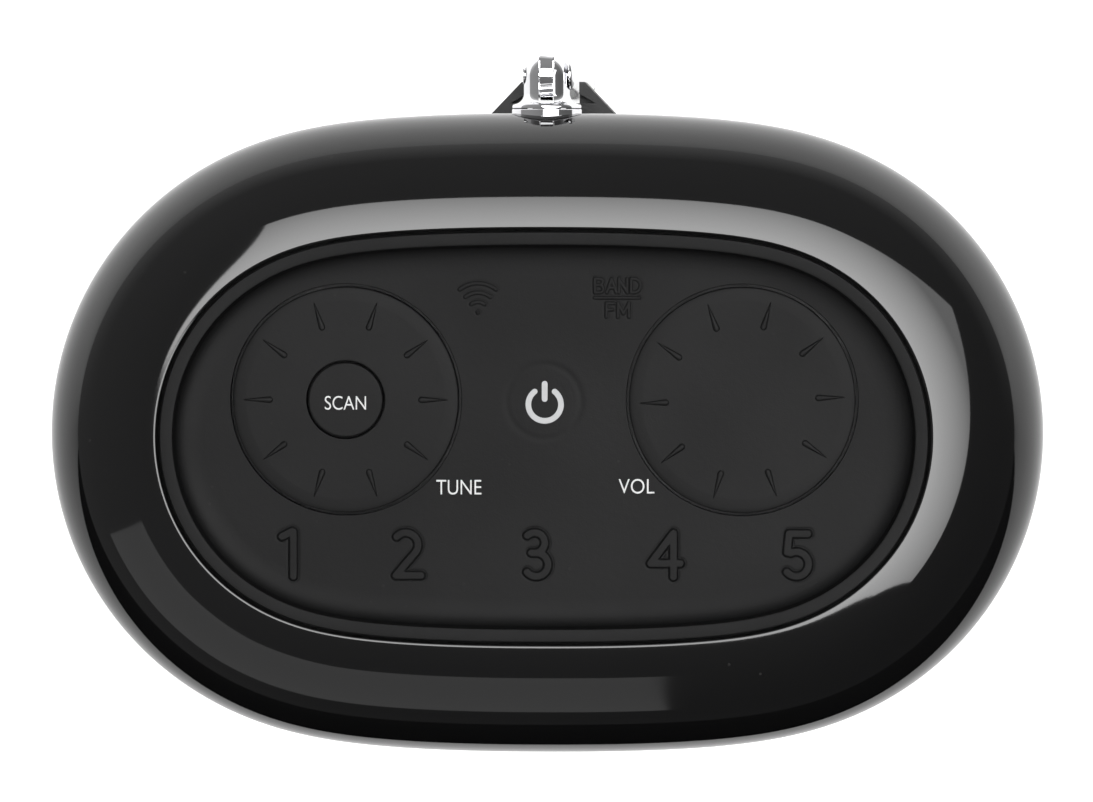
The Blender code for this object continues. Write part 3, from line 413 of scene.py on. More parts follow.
# %% One recipe for moulded, painted and plated surfaces
def make_finish(
    name, dark, light=None, low=0.3, high=0.4, patch=60.0, grain=0.0, grain_scale=4000.0, dust=0.0, metallic=0.0,
    coat=0.0, specular=0.5, groove=False, softness=0.5, dust_scale=420.0,
):
    """dark and light are the ends of a slow colour drift, low and high those of the roughness."""
    made = bpy.data.materials.new(name)
    made.use_nodes = True
    tree = made.node_tree
    shader = tree.nodes["Principled BSDF"]
    adjust(shader, Metallic=metallic, Coat_Weight=coat, Coat_Roughness=0.05, Specular_IOR_Level=specular)
    place = add(tree, "ShaderNodeTexCoord")
    polish = add(tree, "ShaderNodeGroup", node_tree=polish_group, Scale=patch, Low=low, High=high)
    connect(tree, (place, "Object", polish, "Vector"), (polish, "Roughness", shader, "Roughness"))
    tone = add(tree, "ShaderNodeTexNoise", Scale=patch * 0.7, Detail=3.0)
    connect(tree, (place, "Object", tone, "Vector"))
    drift = add(tree, "ShaderNodeMix", data_type="RGBA")
    drift.inputs[6].default_value = (*dark, 1)
    drift.inputs[7].default_value = (*(light or dark), 1)
    connect(tree, (tone, 0, drift, 0))
    colour = drift.outputs[2]
    # Painted shade: a vertex attribute, where a mesh has one, mixes the colour towards near-black in the keys' parting
    # grooves.
    if groove:
        mask = add(tree, "ShaderNodeAttribute", attribute_name="groove")
        shade = add(tree, "ShaderNodeMix", data_type="RGBA")
        shade.inputs[7].default_value = (0.0015, 0.0015, 0.0016, 1)
        connect(tree, (mask, "Fac", shade, 0))
        tree.links.new(colour, shade.inputs[6])
        colour = shade.outputs[2]
    if dust:
        specks = add(tree, "ShaderNodeGroup", node_tree=dust_group, Amount=dust, Scale=dust_scale)
        connect(tree, (place, "Object", specks, "Vector"))
        dusty = add(tree, "ShaderNodeMix", data_type="RGBA")
        dusty.inputs[7].default_value = (0.35, 0.34, 0.32, 1)
        connect(tree, (specks, "Mask", dusty, 0))
        tree.links.new(colour, dusty.inputs[6])
        colour = dusty.outputs[2]
    tree.links.new(colour, shader.inputs["Base Color"])
    if grain:
        texture = add(tree, "ShaderNodeGroup", node_tree=grain_group, Scale=grain_scale, Softness=softness)
        connect(tree, (place, "Object", texture, "Vector"))
        bump = add(tree, "ShaderNodeBump", Distance=0.0001, Strength=grain)
        connect(tree, (texture, "Height", bump, "Height"), (bump, "Normal", shader, "Normal"))
    return made


def grey(value):
    return (value, value, value * 1.03)


gloss_black = make_finish(
    "gloss_black_shell", grey(0.0028), grey(0.0042), 0.035, 0.06, patch=45.0, dust=0.05, grain=0.02, grain_scale=260.0
)
key_rubber = make_finish(
    "key_rubber", grey(0.0040), grey(0.0050), 0.52, 0.60, patch=40.0, grain=0.22, grain_scale=5200.0, dust=0.02,
    groove=True, specular=0.145,
)
dial_rubber = make_finish(
    "dial_rubber", grey(0.0039), grey(0.0049), 0.50, 0.58, patch=40.0, grain=0.2, grain_scale=5200.0, dust=0.02,
    groove=True, specular=0.145,
)
matte_plastic = make_finish(
    "matte_plastic", grey(0.010), grey(0.014), 0.42, 0.52, grain=0.5, grain_scale=2600.0, dust=0.03
)
clip_plastic = make_finish(
    "clip_plastic", grey(0.009), grey(0.013), 0.40, 0.50, grain=0.25, grain_scale=3000.0, dust=0.02, specular=0.3
)
grille_paint = make_finish(
    "grille_paint", grey(0.008), grey(0.011), 0.34, 0.44, grain=0.35, grain_scale=2400.0, coat=0.15, dust=0.02
)
foot_rubber = make_finish("foot_rubber", grey(0.014), grey(0.020), 0.75, 0.85, grain=0.6, grain_scale=2200.0, dust=0.1)
chrome = make_finish(
    "bright_chrome", (0.80, 0.80, 0.82), (0.84, 0.84, 0.85), 0.03, 0.06, patch=120.0, metallic=1.0, grain=0.01,
    grain_scale=500.0,
)
zinc = make_finish("zinc_plate", (0.48, 0.49, 0.50), (0.60, 0.60, 0.60), 0.24, 0.38, metallic=1.0, grain=0.3)
dark_plastic = make_finish("moulded_black", grey(0.012), grey(0.018), 0.45, 0.6, grain=0.4)
print("finishes:", len([m for m in bpy.data.materials if m.users or m.use_nodes]))

# %% [markdown]
# ## A rule for the cabinet's walls
# Shoulder, rear wall, base cover and foot are all one section swept round the outline. A sweep made
# with Geometry Nodes keeps that rule visible: the input mesh is the outline, a named input is the
# section, and Curve to Mesh offsets every point of the section along the outline's own normal. A
# lathe can't do this, because the outline isn't round.

# %% Helpers that build a Geometry Nodes tree and apply it
def new_tree(name, inputs):
    tree = bpy.data.node_groups.new(name, "GeometryNodeTree")
    tree.interface.new_socket("Geometry", in_out="INPUT", socket_type=GEOMETRY)
    for label, kind, value in inputs:
        socket = tree.interface.new_socket(label, in_out="INPUT", socket_type=kind)
        if value is not None:
            socket.default_value = value
    tree.interface.new_socket("Geometry", in_out="OUTPUT", socket_type=GEOMETRY)
    return tree, tree.nodes.new("NodeGroupInput"), tree.nodes.new("NodeGroupOutput")


def close_tree(tree, g_in, g_out, last):
    """Every tree ends the same way, because an export drops instances."""
    real = add(tree, "GeometryNodeRealizeInstances")
    paint = add(tree, "GeometryNodeSetMaterial")
    tree.links.new(last, real.inputs[0])
    connect(tree, (real, 0, paint, "Geometry"), (g_in, "Material", paint, "Material"), (paint, 0, g_out, "Geometry"))


def grow(piece, tree, values):
    """Sets the inputs by their sockets' identifiers before the first evaluation, then bakes."""
    step = piece.modifiers.new(tree.name, "NODES")
    step.node_group = tree
    for item in tree.interface.items_tree:
        if item.in_out == "INPUT" and item.name in values:
            step[item.identifier] = values[item.name]
    return bake(piece)


def wire(name, points, closed=True):
    """A line of edges in metres, as an object a tree can read."""
    mesh = bpy.data.meshes.new(name)
    last = len(points) if closed else len(points) - 1
    mesh.from_pydata([[v * MM for v in p] for p in points], [(i, (i + 1) % len(points)) for i in range(last)], [])
    made = bpy.data.objects.new(name, mesh)
    bpy.context.scene.collection.objects.link(made)
    return made


# %% The sweep tree
sweep_tree, g_in, g_out = new_tree(
    "sweep_round_outline", [("Section", OBJECT, None), ("Material", MATERIAL, None)]
)
path = add(sweep_tree, "GeometryNodeMeshToCurve")
upright = add(sweep_tree, "GeometryNodeSetCurveNormal", mode="Z_UP")
section = add(sweep_tree, "GeometryNodeObjectInfo")
section_curve = add(sweep_tree, "GeometryNodeMeshToCurve")
sweep = add(sweep_tree, "GeometryNodeCurveToMesh")
link = sweep_tree.links.new
connect(
    sweep_tree,
    (g_in, "Geometry", path, 0), (path, 0, upright, 0), (g_in, "Section", section, "Object"),
    (section, "Geometry", section_curve, 0), (upright, 0, sweep, "Curve"),
    (section_curve, 0, sweep, "Profile Curve"),
)
close_tree(sweep_tree, g_in, g_out, sweep.outputs[0])


def swept(name, profile, look, closed=True):
    """A wall round the outline from (inset, z) points. An open profile is closed with flat caps."""
    piece = wire(name, [(x, y, 0) for x, y in RIM_POINTS])
    section = wire(name + "_section", [(-inset, -z, 0) for inset, z in profile], closed)
    grow(piece, sweep_tree, {"Section": section, "Material": look})
    bpy.data.objects.remove(section)
    bm = bmesh.new()
    bm.from_mesh(piece.data)
    if not closed:
        bmesh.ops.holes_fill(bm, edges=[edge for edge in bm.edges if edge.is_boundary], sides=0)
    bmesh.ops.recalc_face_normals(bm, faces=bm.faces)
    bm.to_mesh(piece.data)
    bm.free()
    return piece


print("tree", sweep_tree.name)

# %% [markdown]
# ## The gloss shoulder
# The upper shell is injection-moulded in gloss black, and its wide quarter-round shoulder is what
# catches the studio's light. The arc needs many steps, because a reflection shows every facet. Its
# inner lip turns down into a narrow dark gap round the rubber. The display opening and the seat of
# the aerial's chrome ring are cut through afterwards.

# %% Sweep the shell
SHOULDER = 13.3
SHELL_WALL = 2.5
RIM_INSET = 13.6
SPRING = CREST - SHOULDER
outer = [(SHOULDER - x, z) for x, z in arc((0, SPRING), SHOULDER, 0, 90, 26)]
inner = [(SHOULDER - x, z) for x, z in arc((0, SPRING), SHOULDER - SHELL_WALL, 88, 0, 10)]
lip = [(RIM_INSET - 0.12, CREST - 0.03), (RIM_INSET - 0.03, CREST - 0.12), (RIM_INSET, CREST - 0.3)]
foot_edge = [(SHELL_WALL, SHELL_LOW), (0.3, SHELL_LOW), (0.08, SHELL_LOW + 0.08), (0, SHELL_LOW + 0.3)]
profile = foot_edge + outer + lip + [(RIM_INSET, CREST - SHELL_WALL)] + inner
gloss_shell = swept("gloss_shell", profile, gloss_black)
print("shell", count(gloss_shell), "triangles")

# %% Cut the display opening and the seat of the aerial's ring
window_low, window_high = node_box("display_window")
pivot = node_centre("antenna_pin")
RING_RADIUS = 4.15
FIT = 0.03


def window_block(name, wider, radius, steps):
    """A rounded block through the front wall, larger than the window by wider all round."""
    reach = window_high[0] + wider
    low = (-reach, -HALF_DEPTH - 3, window_low[2] - wider)
    high = (reach, -HALF_DEPTH + 7, window_high[2] + wider)
    return rounded_block(name, low, high, radius, steps, "Y")


carve(gloss_shell, window_block("opening", GAP, 2.5, 6))
bore(gloss_shell, RING_RADIUS + FIT, HALF_DEPTH - 8, HALF_DEPTH + 3, (0, 0, pivot[2]), "Y", 96)
tidy_normals(gloss_shell, 30, gloss_black)
place_piece(gloss_shell, "radio", ["top_shell"])

# %% [markdown]
# ## Distance to a line
# Two later steps need to know how far a point lies from a line: the rubber's fillet follows the
# outline, and the raised marks follow their strokes. Working it out with arrays is quick enough for
# a hundred thousand points.

# %% Distance from points to a set of strokes
def distance_to(points, strokes):
    best = np.full(len(points), 1e9)
    for stroke in strokes:
        for a, b in zip(stroke, stroke[1:]):
            a, b = np.array(a), np.array(b)
            line = b - a
            t = np.clip(((points - a) @ line) / max(line @ line, 1e-9), 0, 1)
            best = np.minimum(best, np.linalg.norm(points - (a + t[:, None] * line), axis=1))
    return best


# %% [markdown]
# ## The rubber skin
# One sheet of soft rubber fills the shoulder. Its rim is a narrow flat band that steps down to the
# field with a soft fillet, and each dial drops into a hole whose edge is rounded, as a moulded edge
# is. The keys aren't separate: the sheet runs over them, so each key is a tile of the same rubber
# set flush in the field.

# %% Sweep the rim and fillet, and cap the field
SKIN_EDGE = 13.9
RIM_TOP = CREST - 0.6
slope = [(SKIN_EDGE, CREST - 2.9), (SKIN_EDGE, RIM_TOP - 0.25), (SKIN_EDGE + 0.08, RIM_TOP - 0.07)]
slope += [(SKIN_EDGE + 0.25, RIM_TOP), (SKIN_EDGE + 1.3, RIM_TOP - 0.04), (SKIN_EDGE + 1.5, RIM_TOP - 0.1)]
slope += [(SKIN_EDGE + 1.60, RIM_TOP - 0.26), (SKIN_EDGE + 1.66, RIM_TOP - 0.5)]
FILLET = [(1.72, 1.25), (1.84, 0.95), (2.05, 0.68), (2.4, 0.43), (2.85, 0.25), (3.4, 0.12), (4.1, 0.04), (5.0, 0.0)]
slope += [(SKIN_EDGE + inset, SKIN_TOP + rise) for inset, rise in FILLET]


def field_rise(points):
    """How far the fillet lifts the rubber above the flat field at each (x, y)."""
    inset = distance_to(points, [RIM_POINTS + RIM_POINTS[:1]]) - SKIN_EDGE
    return np.interp(inset, [p[0] for p in FILLET], [p[1] for p in FILLET])


under = [(SKIN_EDGE - 2.6, SKIN_TOP - 1.6), (SKIN_EDGE - 2.6, CREST - 3.2), (SKIN_EDGE, CREST - 2.9)]
skin = swept("key_skin", under + slope[1:], key_rubber, closed=False)
print("skin blank", count(skin), "triangles")

# %% Cut the dial holes with a flared cutter
dials = {"tune_dial": node_centre("tune_dial"), "volume_dial": node_centre("volume_dial")}
DIAL_RADIUS = (node_box("volume_dial")[1][0] - node_box("volume_dial")[0][0]) / 2
DIAL_GAP = 0.3
ROUND_EDGE = 0.1


def flared(name, x, y, radius, edge, low, top):
    """A cutter that leaves a hole with a quarter-round edge at the top."""
    flare = [(radius + edge - px, pz) for px, pz in arc((0, top - edge), edge, 0, 90, 6)]
    return turned(name, [(radius, low)] + flare + [(radius + edge, top + 2)], None, (x, y, 0), "Z", 128)


for name, centre in dials.items():
    carve(skin, flared("hole", *centre[:2], DIAL_RADIUS + DIAL_GAP, ROUND_EDGE, SKIN_TOP - 4, SKIN_TOP))
print("dial holes at", [[round(v, 2) for v in c[:2]] for c in dials.values()])

# %% [markdown]
# ## Key tiles
# Each key's mark is moulded into the rubber: a raised stroke with a fine parting groove round it. A
# boolean of text would give hard edges, so the tile is a height field instead. For every point of a
# fine grid the distance to the nearest stroke is worked out, and a soft profile turns distance into
# height. The same distance fills a vertex attribute named for the groove, which darkens the colour
# along the parting line: a painted shade where the groove's shadow falls.

# %% Build one tile
def key_tile(name, x, y, half_x, half_y, strokes, width, rise, moat, ink_and_painted_shade, ramp, step, extra=None):
    """A closed tile of rubber, flush at its border, with strokes raised out of it."""
    nx, ny = int(round(2 * half_x / step)), int(round(2 * half_y / step))
    us, vs = np.linspace(-half_x, half_x, nx + 1), np.linspace(-half_y, half_y, ny + 1)
    grid = np.stack(np.meshgrid(us, vs, indexing="xy"), -1).reshape(-1, 2)
    gap = distance_to(grid, strokes) - width / 2 if strokes else np.full(len(grid), 9.0)
    t = np.clip((0.04 - gap) / ramp, 0, 1)
    dip = np.exp(-(((gap - 0.11) / 0.09) ** 2))
    height = rise * t * t * (3 - 2 * t) - moat * dip
    # Painted shade: a dark band along the parting line round each stroke, weighted by the shade amount.
    groove = ink_and_painted_shade * np.exp(-(((gap - 0.06) / 0.08) ** 2))
    if extra is not None:
        more, dark = extra(grid)
        height, groove = height + more, np.maximum(groove, dark)
    border = np.minimum(half_x - np.abs(grid[:, 0]), half_y - np.abs(grid[:, 1]))
    height[border < 1e-6] = 0
    height += field_rise(grid + np.array([x, y]))
    top = np.column_stack([grid[:, 0] + x, grid[:, 1] + y, height + SKIN_TOP])
    index = np.arange(len(grid)).reshape(ny + 1, nx + 1)
    quads = np.stack([index[:-1, :-1], index[:-1, 1:], index[1:, 1:], index[1:, :-1]], -1).reshape(-1, 4).tolist()
    rim = list(index[0, :-1]) + list(index[:-1, -1]) + list(index[-1, :0:-1]) + list(index[:0:-1, 0])
    low = top[rim].copy()
    low[:, 2] = SKIN_TOP - 1.2
    base = len(top)
    for i in range(len(rim)):
        j = (i + 1) % len(rim)
        quads.append([int(rim[j]), int(rim[i]), base + i, base + j])
    quads.append([base + i for i in reversed(range(len(rim)))])
    mesh = bpy.data.meshes.new(name)
    mesh.from_pydata((np.vstack([top, low]) * MM).tolist(), [], quads)
    mesh.shade_smooth()
    mesh.set_sharp_from_angle(angle=math.radians(60))
    mesh.materials.append(key_rubber)
    # The painted shade is stored per vertex; the tile's underside gets none.
    mask = mesh.attributes.new("groove", "FLOAT", "POINT")
    mask.data.foreach_set("value", np.concatenate([groove, np.zeros(len(low))]).astype(np.float32))
    piece = bpy.data.objects.new(name, mesh)
    bpy.context.scene.collection.objects.link(piece)
    return piece


# %% Strokes of the five numerals, each about its own centre
NUMERALS = {
    1: [[(0.59, 2.6), (0.59, -2.64)], [(-0.755, 2.05), (0.42, 2.68)]],
    2: [arc((-0.25, 1.10), 1.44, 138, -35) + [(-1.43, -2.51)], [(-1.43, -2.51), (1.53, -2.51)]],
    3: [arc((-0.19, 1.38), 1.2, 135, -90) + [(-0.56, 0.20)], arc((0, -1.19), 1.4, 90, -140)],
    4: [[(0.94, 2.54), (0.94, -2.6)], [(0.94, 2.54), (-1.75, -1.03), (1.75, -1.03)]],
    5: [[(1.32, 2.5), (-0.88, 2.5), (-1.1, 0.31)], arc((-0.03, -1.07), 1.45, 118, -140)],
}
NUMERAL_HALF = {1: 1.84, 2: 2.56, 3: 2.4, 4: 2.8, 5: 2.48}
NUMERAL_X = {1: -30.1, 2: -16.0, 3: -0.9, 4: 14.3, 5: 29.7}
NUMERAL_Y = node_centre("preset_key_3")[1] - 0.05
print("numerals at y", round(NUMERAL_Y, 2))

# %% Strokes of the two mode keys: radiating arcs, and a pair of words over a bar
def letter_strokes(word, x, y, tall, pitch):
    """Plain stroke letters, enough for the words here, on a box 0.62 wide and 1 tall."""
    shapes = {
        "B": [[(0, 0), (0, 1), (0.35, 1)] + arc((0.35, 0.77), 0.23, 90, -90, 8) + [(0, 0.54)],
              [(0.35, 0.54)] + arc((0.35, 0.27), 0.27, 90, -90, 8) + [(0, 0)]],
        "A": [[(0, 0), (0.34, 1), (0.68, 0)], [(0.13, 0.34), (0.55, 0.34)]],
        "N": [[(0, 0), (0, 1), (0.6, 0), (0.6, 1)]],
        "D": [[(0, 0), (0, 1), (0.2, 1)] + arc((0.2, 0.5), 0.5, 90, -90, 10) + [(0, 0)]],
        "F": [[(0, 0), (0, 1), (0.55, 1)], [(0, 0.52), (0.45, 0.52)]],
        "M": [[(0, 0), (0, 1), (0.4, 0.25), (0.8, 1), (0.8, 0)]],
    }
    strokes, cursor = [], x
    for letter in word:
        for stroke in shapes[letter]:
            strokes.append([(cursor + px * tall, y + py * tall) for px, py in stroke])
        cursor += pitch * (1.2 if letter == "M" else 1.0)
    return strokes


BAND = letter_strokes("BAND", -2.62, 0.62, 1.62, 1.42) + [[(-2.62, 0.0), (2.62, 0.0)]]
BAND += letter_strokes("FM", -1.25, -2.25, 1.62, 1.35)
AIR = [[(0, -1.75), (0, -1.72)]]
for reach in (1.25, 2.35, 3.45):
    AIR.append(arc((0, -1.75), reach, 90 - 38, 90 + 38, 16))
print("mode strokes:", len(BAND), "and", len(AIR))


def power_field(grid):
    """A soft ring round the power mark, where the key sits under the skin, with a shallow dish inside it; the second
    value is painted shade, darkest in the ring and lighter over the dish.
    """
    r = np.linalg.norm(grid, axis=1)
    ring = np.exp(-(((r - 4.35) / 0.42) ** 2))
    inside = np.clip((4.35 - r) / 0.9, 0, 1)
    return -0.05 * ring - 0.03 * inside * inside * (3 - 2 * inside), 0.12 * ring + 0.06 * inside


# %% Cut the tiles' places in the skin, and make the tiles
# Rise, moat, painted groove shade, ramp and grid step of a bold numeral, and of the fine lines on the other keys
BOLD_MARK = (0.24, 0.07, 0.42, 0.2, 0.08)
FINE_MARK = (0.08, 0.03, 0.34, 0.12, 0.06)
NUMERAL_TALL, NUMERAL_STROKE = 3.6, 1.08
tile_specs = []
for number, strokes in NUMERALS.items():
    names = (f"preset_tile_{number}", f"preset_key_{number}", f"preset_{number}")
    place = (NUMERAL_X[number], NUMERAL_Y, NUMERAL_HALF[number], NUMERAL_TALL)
    tile_specs.append((*names, *place, strokes, NUMERAL_STROKE, BOLD_MARK, None))
wx, wy = node_centre("wireless_key")[:2]
bx, by = node_centre("band_key")[:2]
px, py = node_centre("power_key")[:2]
tile_specs.append(("wireless_tile", "wireless_key", "wireless", wx, wy, 2.88, 3.2, AIR, 0.42, FINE_MARK, None))
tile_specs.append(("band_tile", "band_key", "band", bx + 0.1, by, 3.44, 3.2, BAND, 0.36, FINE_MARK, None))
tile_specs.append(("power_tile", "power_key", "power", px, py, 5.52, 5.52, [], 0.1, FINE_MARK, power_field))

for *_, x, y, half_x, half_y, _, _, _, _ in tile_specs:
    carve(skin, rounded_block("place", (x - half_x, y - half_y, SKIN_TOP - 4), (x + half_x, y + half_y, SKIN_TOP + 3)))
tidy_normals(skin, 32, key_rubber)
place_piece(skin, "radio", ["control_skin"])

for name, node, body, x, y, half_x, half_y, strokes, width, mark, extra in tile_specs:
    tile = key_tile(name, x, y, half_x, half_y, strokes, width, *mark, extra=extra)
    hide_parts(node)
    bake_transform(tile)
    print(name, count(tile), "triangles")

# %% [markdown]
# ## Finger dials
# A dial is a rubber-coated disc with a soft chamfer, and ten raised ticks that a fingertip feels.
# The disc is turned like a lathe part. The ticks repeat, so a small tree places one tick on each
# point of a circle, turned to face outwards, and its count, start angle and centre stay as named inputs, while the
# radius is built into the tick.

# %% The ring tree: copies of one piece round a circle
ring_tree, g_in, g_out = new_tree(
    "copies_round_a_circle",
    [
        ("Copy", OBJECT, None),
        ("Count", INTEGER, 10),
        ("Start", FLOAT, 0.0),
        ("Centre", VECTOR, None),
        ("Material", MATERIAL, None),
    ],
)
line = add(ring_tree, "GeometryNodeMeshLine", Offset=(0, 0, 0))
number = add(ring_tree, "GeometryNodeInputIndex")
share = add(ring_tree, "ShaderNodeMath", operation="DIVIDE")
turn = add(ring_tree, "ShaderNodeMath", operation="MULTIPLY_ADD")
turn.inputs[1].default_value = math.tau
angles = add(ring_tree, "ShaderNodeCombineXYZ")
copy_info = add(ring_tree, "GeometryNodeObjectInfo")
copies = add(ring_tree, "GeometryNodeInstanceOnPoints")
moved = add(ring_tree, "GeometryNodeTransform")
together = add(ring_tree, "GeometryNodeJoinGeometry")
link = ring_tree.links.new
connect(
    ring_tree,
    (g_in, "Count", line, "Count"), (number, 0, share, 0), (g_in, "Count", share, 1), (share, 0, turn, 0),
    (g_in, "Start", turn, 2), (turn, 0, angles, "Z"), (g_in, "Copy", copy_info, "Object"),
    (line, 0, copies, "Points"), (copy_info, "Geometry", copies, "Instance"), (angles, 0, copies, "Rotation"),
    (copies, 0, moved, "Geometry"), (g_in, "Centre", moved, "Translation"), (moved, 0, together, 0),
    (g_in, "Geometry", together, 0),
)
close_tree(ring_tree, g_in, g_out, together.outputs[0])
print("tree", ring_tree.name)

# %% One tick: blunt towards the middle, pointed outwards, domed
def make_tick(inner, outer, width, height, low):
    """A closed dome over a teardrop, long axis on X, its foot at low."""
    around, rise = 28, 5
    bm = bmesh.new()
    rings = []
    for level in range(rise + 1):
        lift = math.sin(math.pi / 2 * level / rise)
        shrink = math.cos(math.pi / 2 * level / (rise + 0.6))
        ring = []
        for i in range(around):
            a = math.tau * i / around
            if math.cos(a) < 0:
                along, across = inner + width / 2 * (1 + math.cos(a)), math.sin(a) * width / 2
            else:
                share = math.cos(a) ** 0.9
                along = inner + width / 2 + share * (outer - inner - width / 2)
                across = math.copysign(width / 2 * (1 - 0.86 * share) * min(1, abs(math.sin(a)) * 3), math.sin(a))
            centre = inner + width / 2 + (outer - inner) * 0.12
            x = centre + (along - centre) * (1 - (1 - shrink) * width / (outer - inner))
            ring.append(bm.verts.new((x, across * shrink, low + (height - low) * lift)))
        rings.append(ring)
    for a, b in zip(rings, rings[1:]):
        for i in range(around):
            j = (i + 1) % around
            bm.faces.new((a[i], a[j], b[j], b[i]))
    bm.faces.new(rings[0])
    bm.faces.new(rings[-1])
    return finish_mesh("tick", bm, dial_rubber, 60)


def make_dial(name, node, body, start, well=None):
    """Disc, chamfer and hub from the node's own box, then ten ticks."""
    low, high = node_box(node)
    x, y, _ = node_centre(node)
    top = SKIN_TOP + DIAL_PROUD
    r = DIAL_RADIUS
    chamfer = [(r, top - 0.32), (r - 0.02, top - 0.22), (r - 0.08, top - 0.15), (r - 0.2, top - 0.11)]
    chamfer += [(r - 0.6, top - 0.07), (r - 1.15, top - 0.03), (r - 1.5, top - 0.01), (r - 1.7, top)]
    profile = [(3.5, low[2]), (3.5, DISC_LOW), (r, DISC_LOW)] + chamfer
    if well:
        edge = [(well + 0.14, top), (well + 0.05, top - 0.03), (well + 0.01, top - 0.1), (well, top - 0.25)]
        profile += edge + [(well, SKIN_TOP - 1.3), (2.2, SKIN_TOP - 1.3), (2.2, low[2])]
    disc = turned(name, profile, dial_rubber, (x, y, 0), "Z", 160, closed=bool(well))
    tidy_normals(disc, 40, dial_rubber)
    tick = make_tick(8.55, 12.05, 0.84, top + 0.2, top - 0.1)
    grow(disc, ring_tree, {
        "Copy": tick, "Count": 10, "Start": math.radians(start), "Centre": (x * MM, y * MM, 0.0),
        "Material": dial_rubber,
    })
    bpy.data.objects.remove(tick)
    place_piece(disc, body, [node])


DISC_LOW = SKIN_TOP - 1.6
DIAL_PROUD = 0.6
scan_low, scan_high = node_box("scan_button")
SCAN_RADIUS = (scan_high[0] - scan_low[0]) / 2
make_dial("tuning_disc", "tune_dial", "tuning_dial", 0.0, SCAN_RADIUS + 0.2)
make_dial("loudness_disc", "volume_dial", "loudness_dial", 1.8)

# %% [markdown]
# ## Scan button
# The button in the middle of the tuning dial is a small turned cap with a soft edge, standing a hair
# above the dial. It is one lathe profile, because nothing on it repeats.

# %% Turn the button
sx, sy, _ = node_centre("scan_button")
top = scan_high[2]
cap = [(1.9, scan_low[2]), (1.9, SKIN_TOP - 0.6), (SCAN_RADIUS, SKIN_TOP - 0.6), (SCAN_RADIUS, top - 0.25)]
cap += [(SCAN_RADIUS - 0.02, top - 0.12), (SCAN_RADIUS - 0.08, top - 0.04), (SCAN_RADIUS - 0.24, top)]
scan_cap = turned("scan_cap", cap, dial_rubber, (sx, sy, 0), "Z", 96)
tidy_normals(scan_cap, 40, dial_rubber)
place_piece(scan_cap, "scan_key", ["scan_button"])

# %% [markdown]
# ## Printed marks
# The white words are pad-printed: a film of ink a few hundredths of a millimetre thick. They are text
# curves turned to mesh before they are placed. The power mark is built as two ribbons with round
# ends, because it is a plain geometric sign.

# %% Ink and the words
ink_and_painted_shade = make_finish("white_ink", (0.50, 0.50, 0.50), (0.56, 0.56, 0.56), 0.45, 0.55, patch=900.0)
grey_ink = make_finish("grey_ink", (0.34, 0.345, 0.35), (0.38, 0.38, 0.385), 0.40, 0.5, patch=900.0)


def printed_word(name, text, x, y, z, width, tall, body, weight=-0.006):
    data = bpy.data.curves.new(name, "FONT")
    data.body, data.size, data.resolution_u, data.offset = text, 1.0, 6, weight
    made = bpy.data.objects.new(name, data)
    bpy.context.scene.collection.objects.link(made)
    bpy.context.view_layer.update()
    graph = bpy.context.evaluated_depsgraph_get()
    mesh = bpy.data.meshes.new_from_object(made.evaluated_get(graph), depsgraph=graph)
    bpy.data.objects.remove(made)
    bm = bmesh.new()
    bm.from_mesh(mesh)
    bmesh.ops.remove_doubles(bm, verts=bm.verts, dist=1e-5)
    bmesh.ops.dissolve_limit(bm, angle_limit=0.01, verts=bm.verts, edges=bm.edges)
    low = [min(v.co[i] for v in bm.verts) for i in range(2)]
    high = [max(v.co[i] for v in bm.verts) for i in range(2)]
    for v in bm.verts:
        v.co.x = x + ((v.co.x - low[0]) / (high[0] - low[0]) - 0.5) * width
        v.co.y = y + ((v.co.y - low[1]) / (high[1] - low[1]) - 0.5) * tall
        v.co.z = z - 0.05
    raised = bmesh.ops.extrude_face_region(bm, geom=bm.faces[:])
    bmesh.ops.translate(bm, vec=(0, 0, 0.075), verts=[v for v in raised["geom"] if isinstance(v, bmesh.types.BMVert)])
    piece = finish_mesh(name, bm, ink_and_painted_shade, 30)
    place_piece(piece, body)


printed_word("word_scan", "SCAN", sx, sy - 0.35, top, 4.85, 1.62, "scan_key")
printed_word("word_tune", "TUNE", -10.0, -6.0, SKIN_TOP, 5.3, 1.72, "radio")
printed_word("word_volume", "VOL", 10.9, -5.85, SKIN_TOP, 4.2, 1.72, "radio")

# %% The power mark
def ribbon(bm, points, width, low, high):
    """A flat stroke with round ends, raised from low to high."""
    points = [Vector(p) for p in points]
    left, right = [], []
    for i, p in enumerate(points):
        along = (points[min(i + 1, len(points) - 1)] - points[max(i - 1, 0)]).normalized()
        side = Vector((-along.y, along.x)) * width / 2
        left.append(p + side)
        right.append(p - side)

    def cap(p, along):
        start = math.degrees(math.atan2(along.y, along.x)) - 90
        return [Vector(q) for q in arc(p, width / 2, start, start + 180, 10)][1:-1]

    loop = right + cap(points[-1], (points[-1] - points[-2])) + left[::-1] + cap(points[0], (points[0] - points[1]))
    lower = [bm.verts.new((p.x, p.y, low)) for p in loop]
    upper = [bm.verts.new((p.x, p.y, high)) for p in loop]
    for i in range(len(loop)):
        j = (i + 1) % len(loop)
        bm.faces.new((lower[i], lower[j], upper[j], upper[i]))
    bm.faces.new(lower[::-1])
    bm.faces.new(upper)


bm = bmesh.new()
ring_x, ring_y = px + 0.1, py - 0.35
low, high = SKIN_TOP - 0.12, SKIN_TOP + 0.03
ribbon(bm, arc((ring_x, ring_y), 1.92, 90 + 37.5, 90 + 322.5, 60), 0.66, low, high)
ribbon(bm, [(ring_x, ring_y + 0.66), (ring_x, ring_y + 2.43)], 0.68, low, high)
power_mark = finish_mesh("power_mark", bm, grey_ink, 30)
place_piece(power_mark, "power")

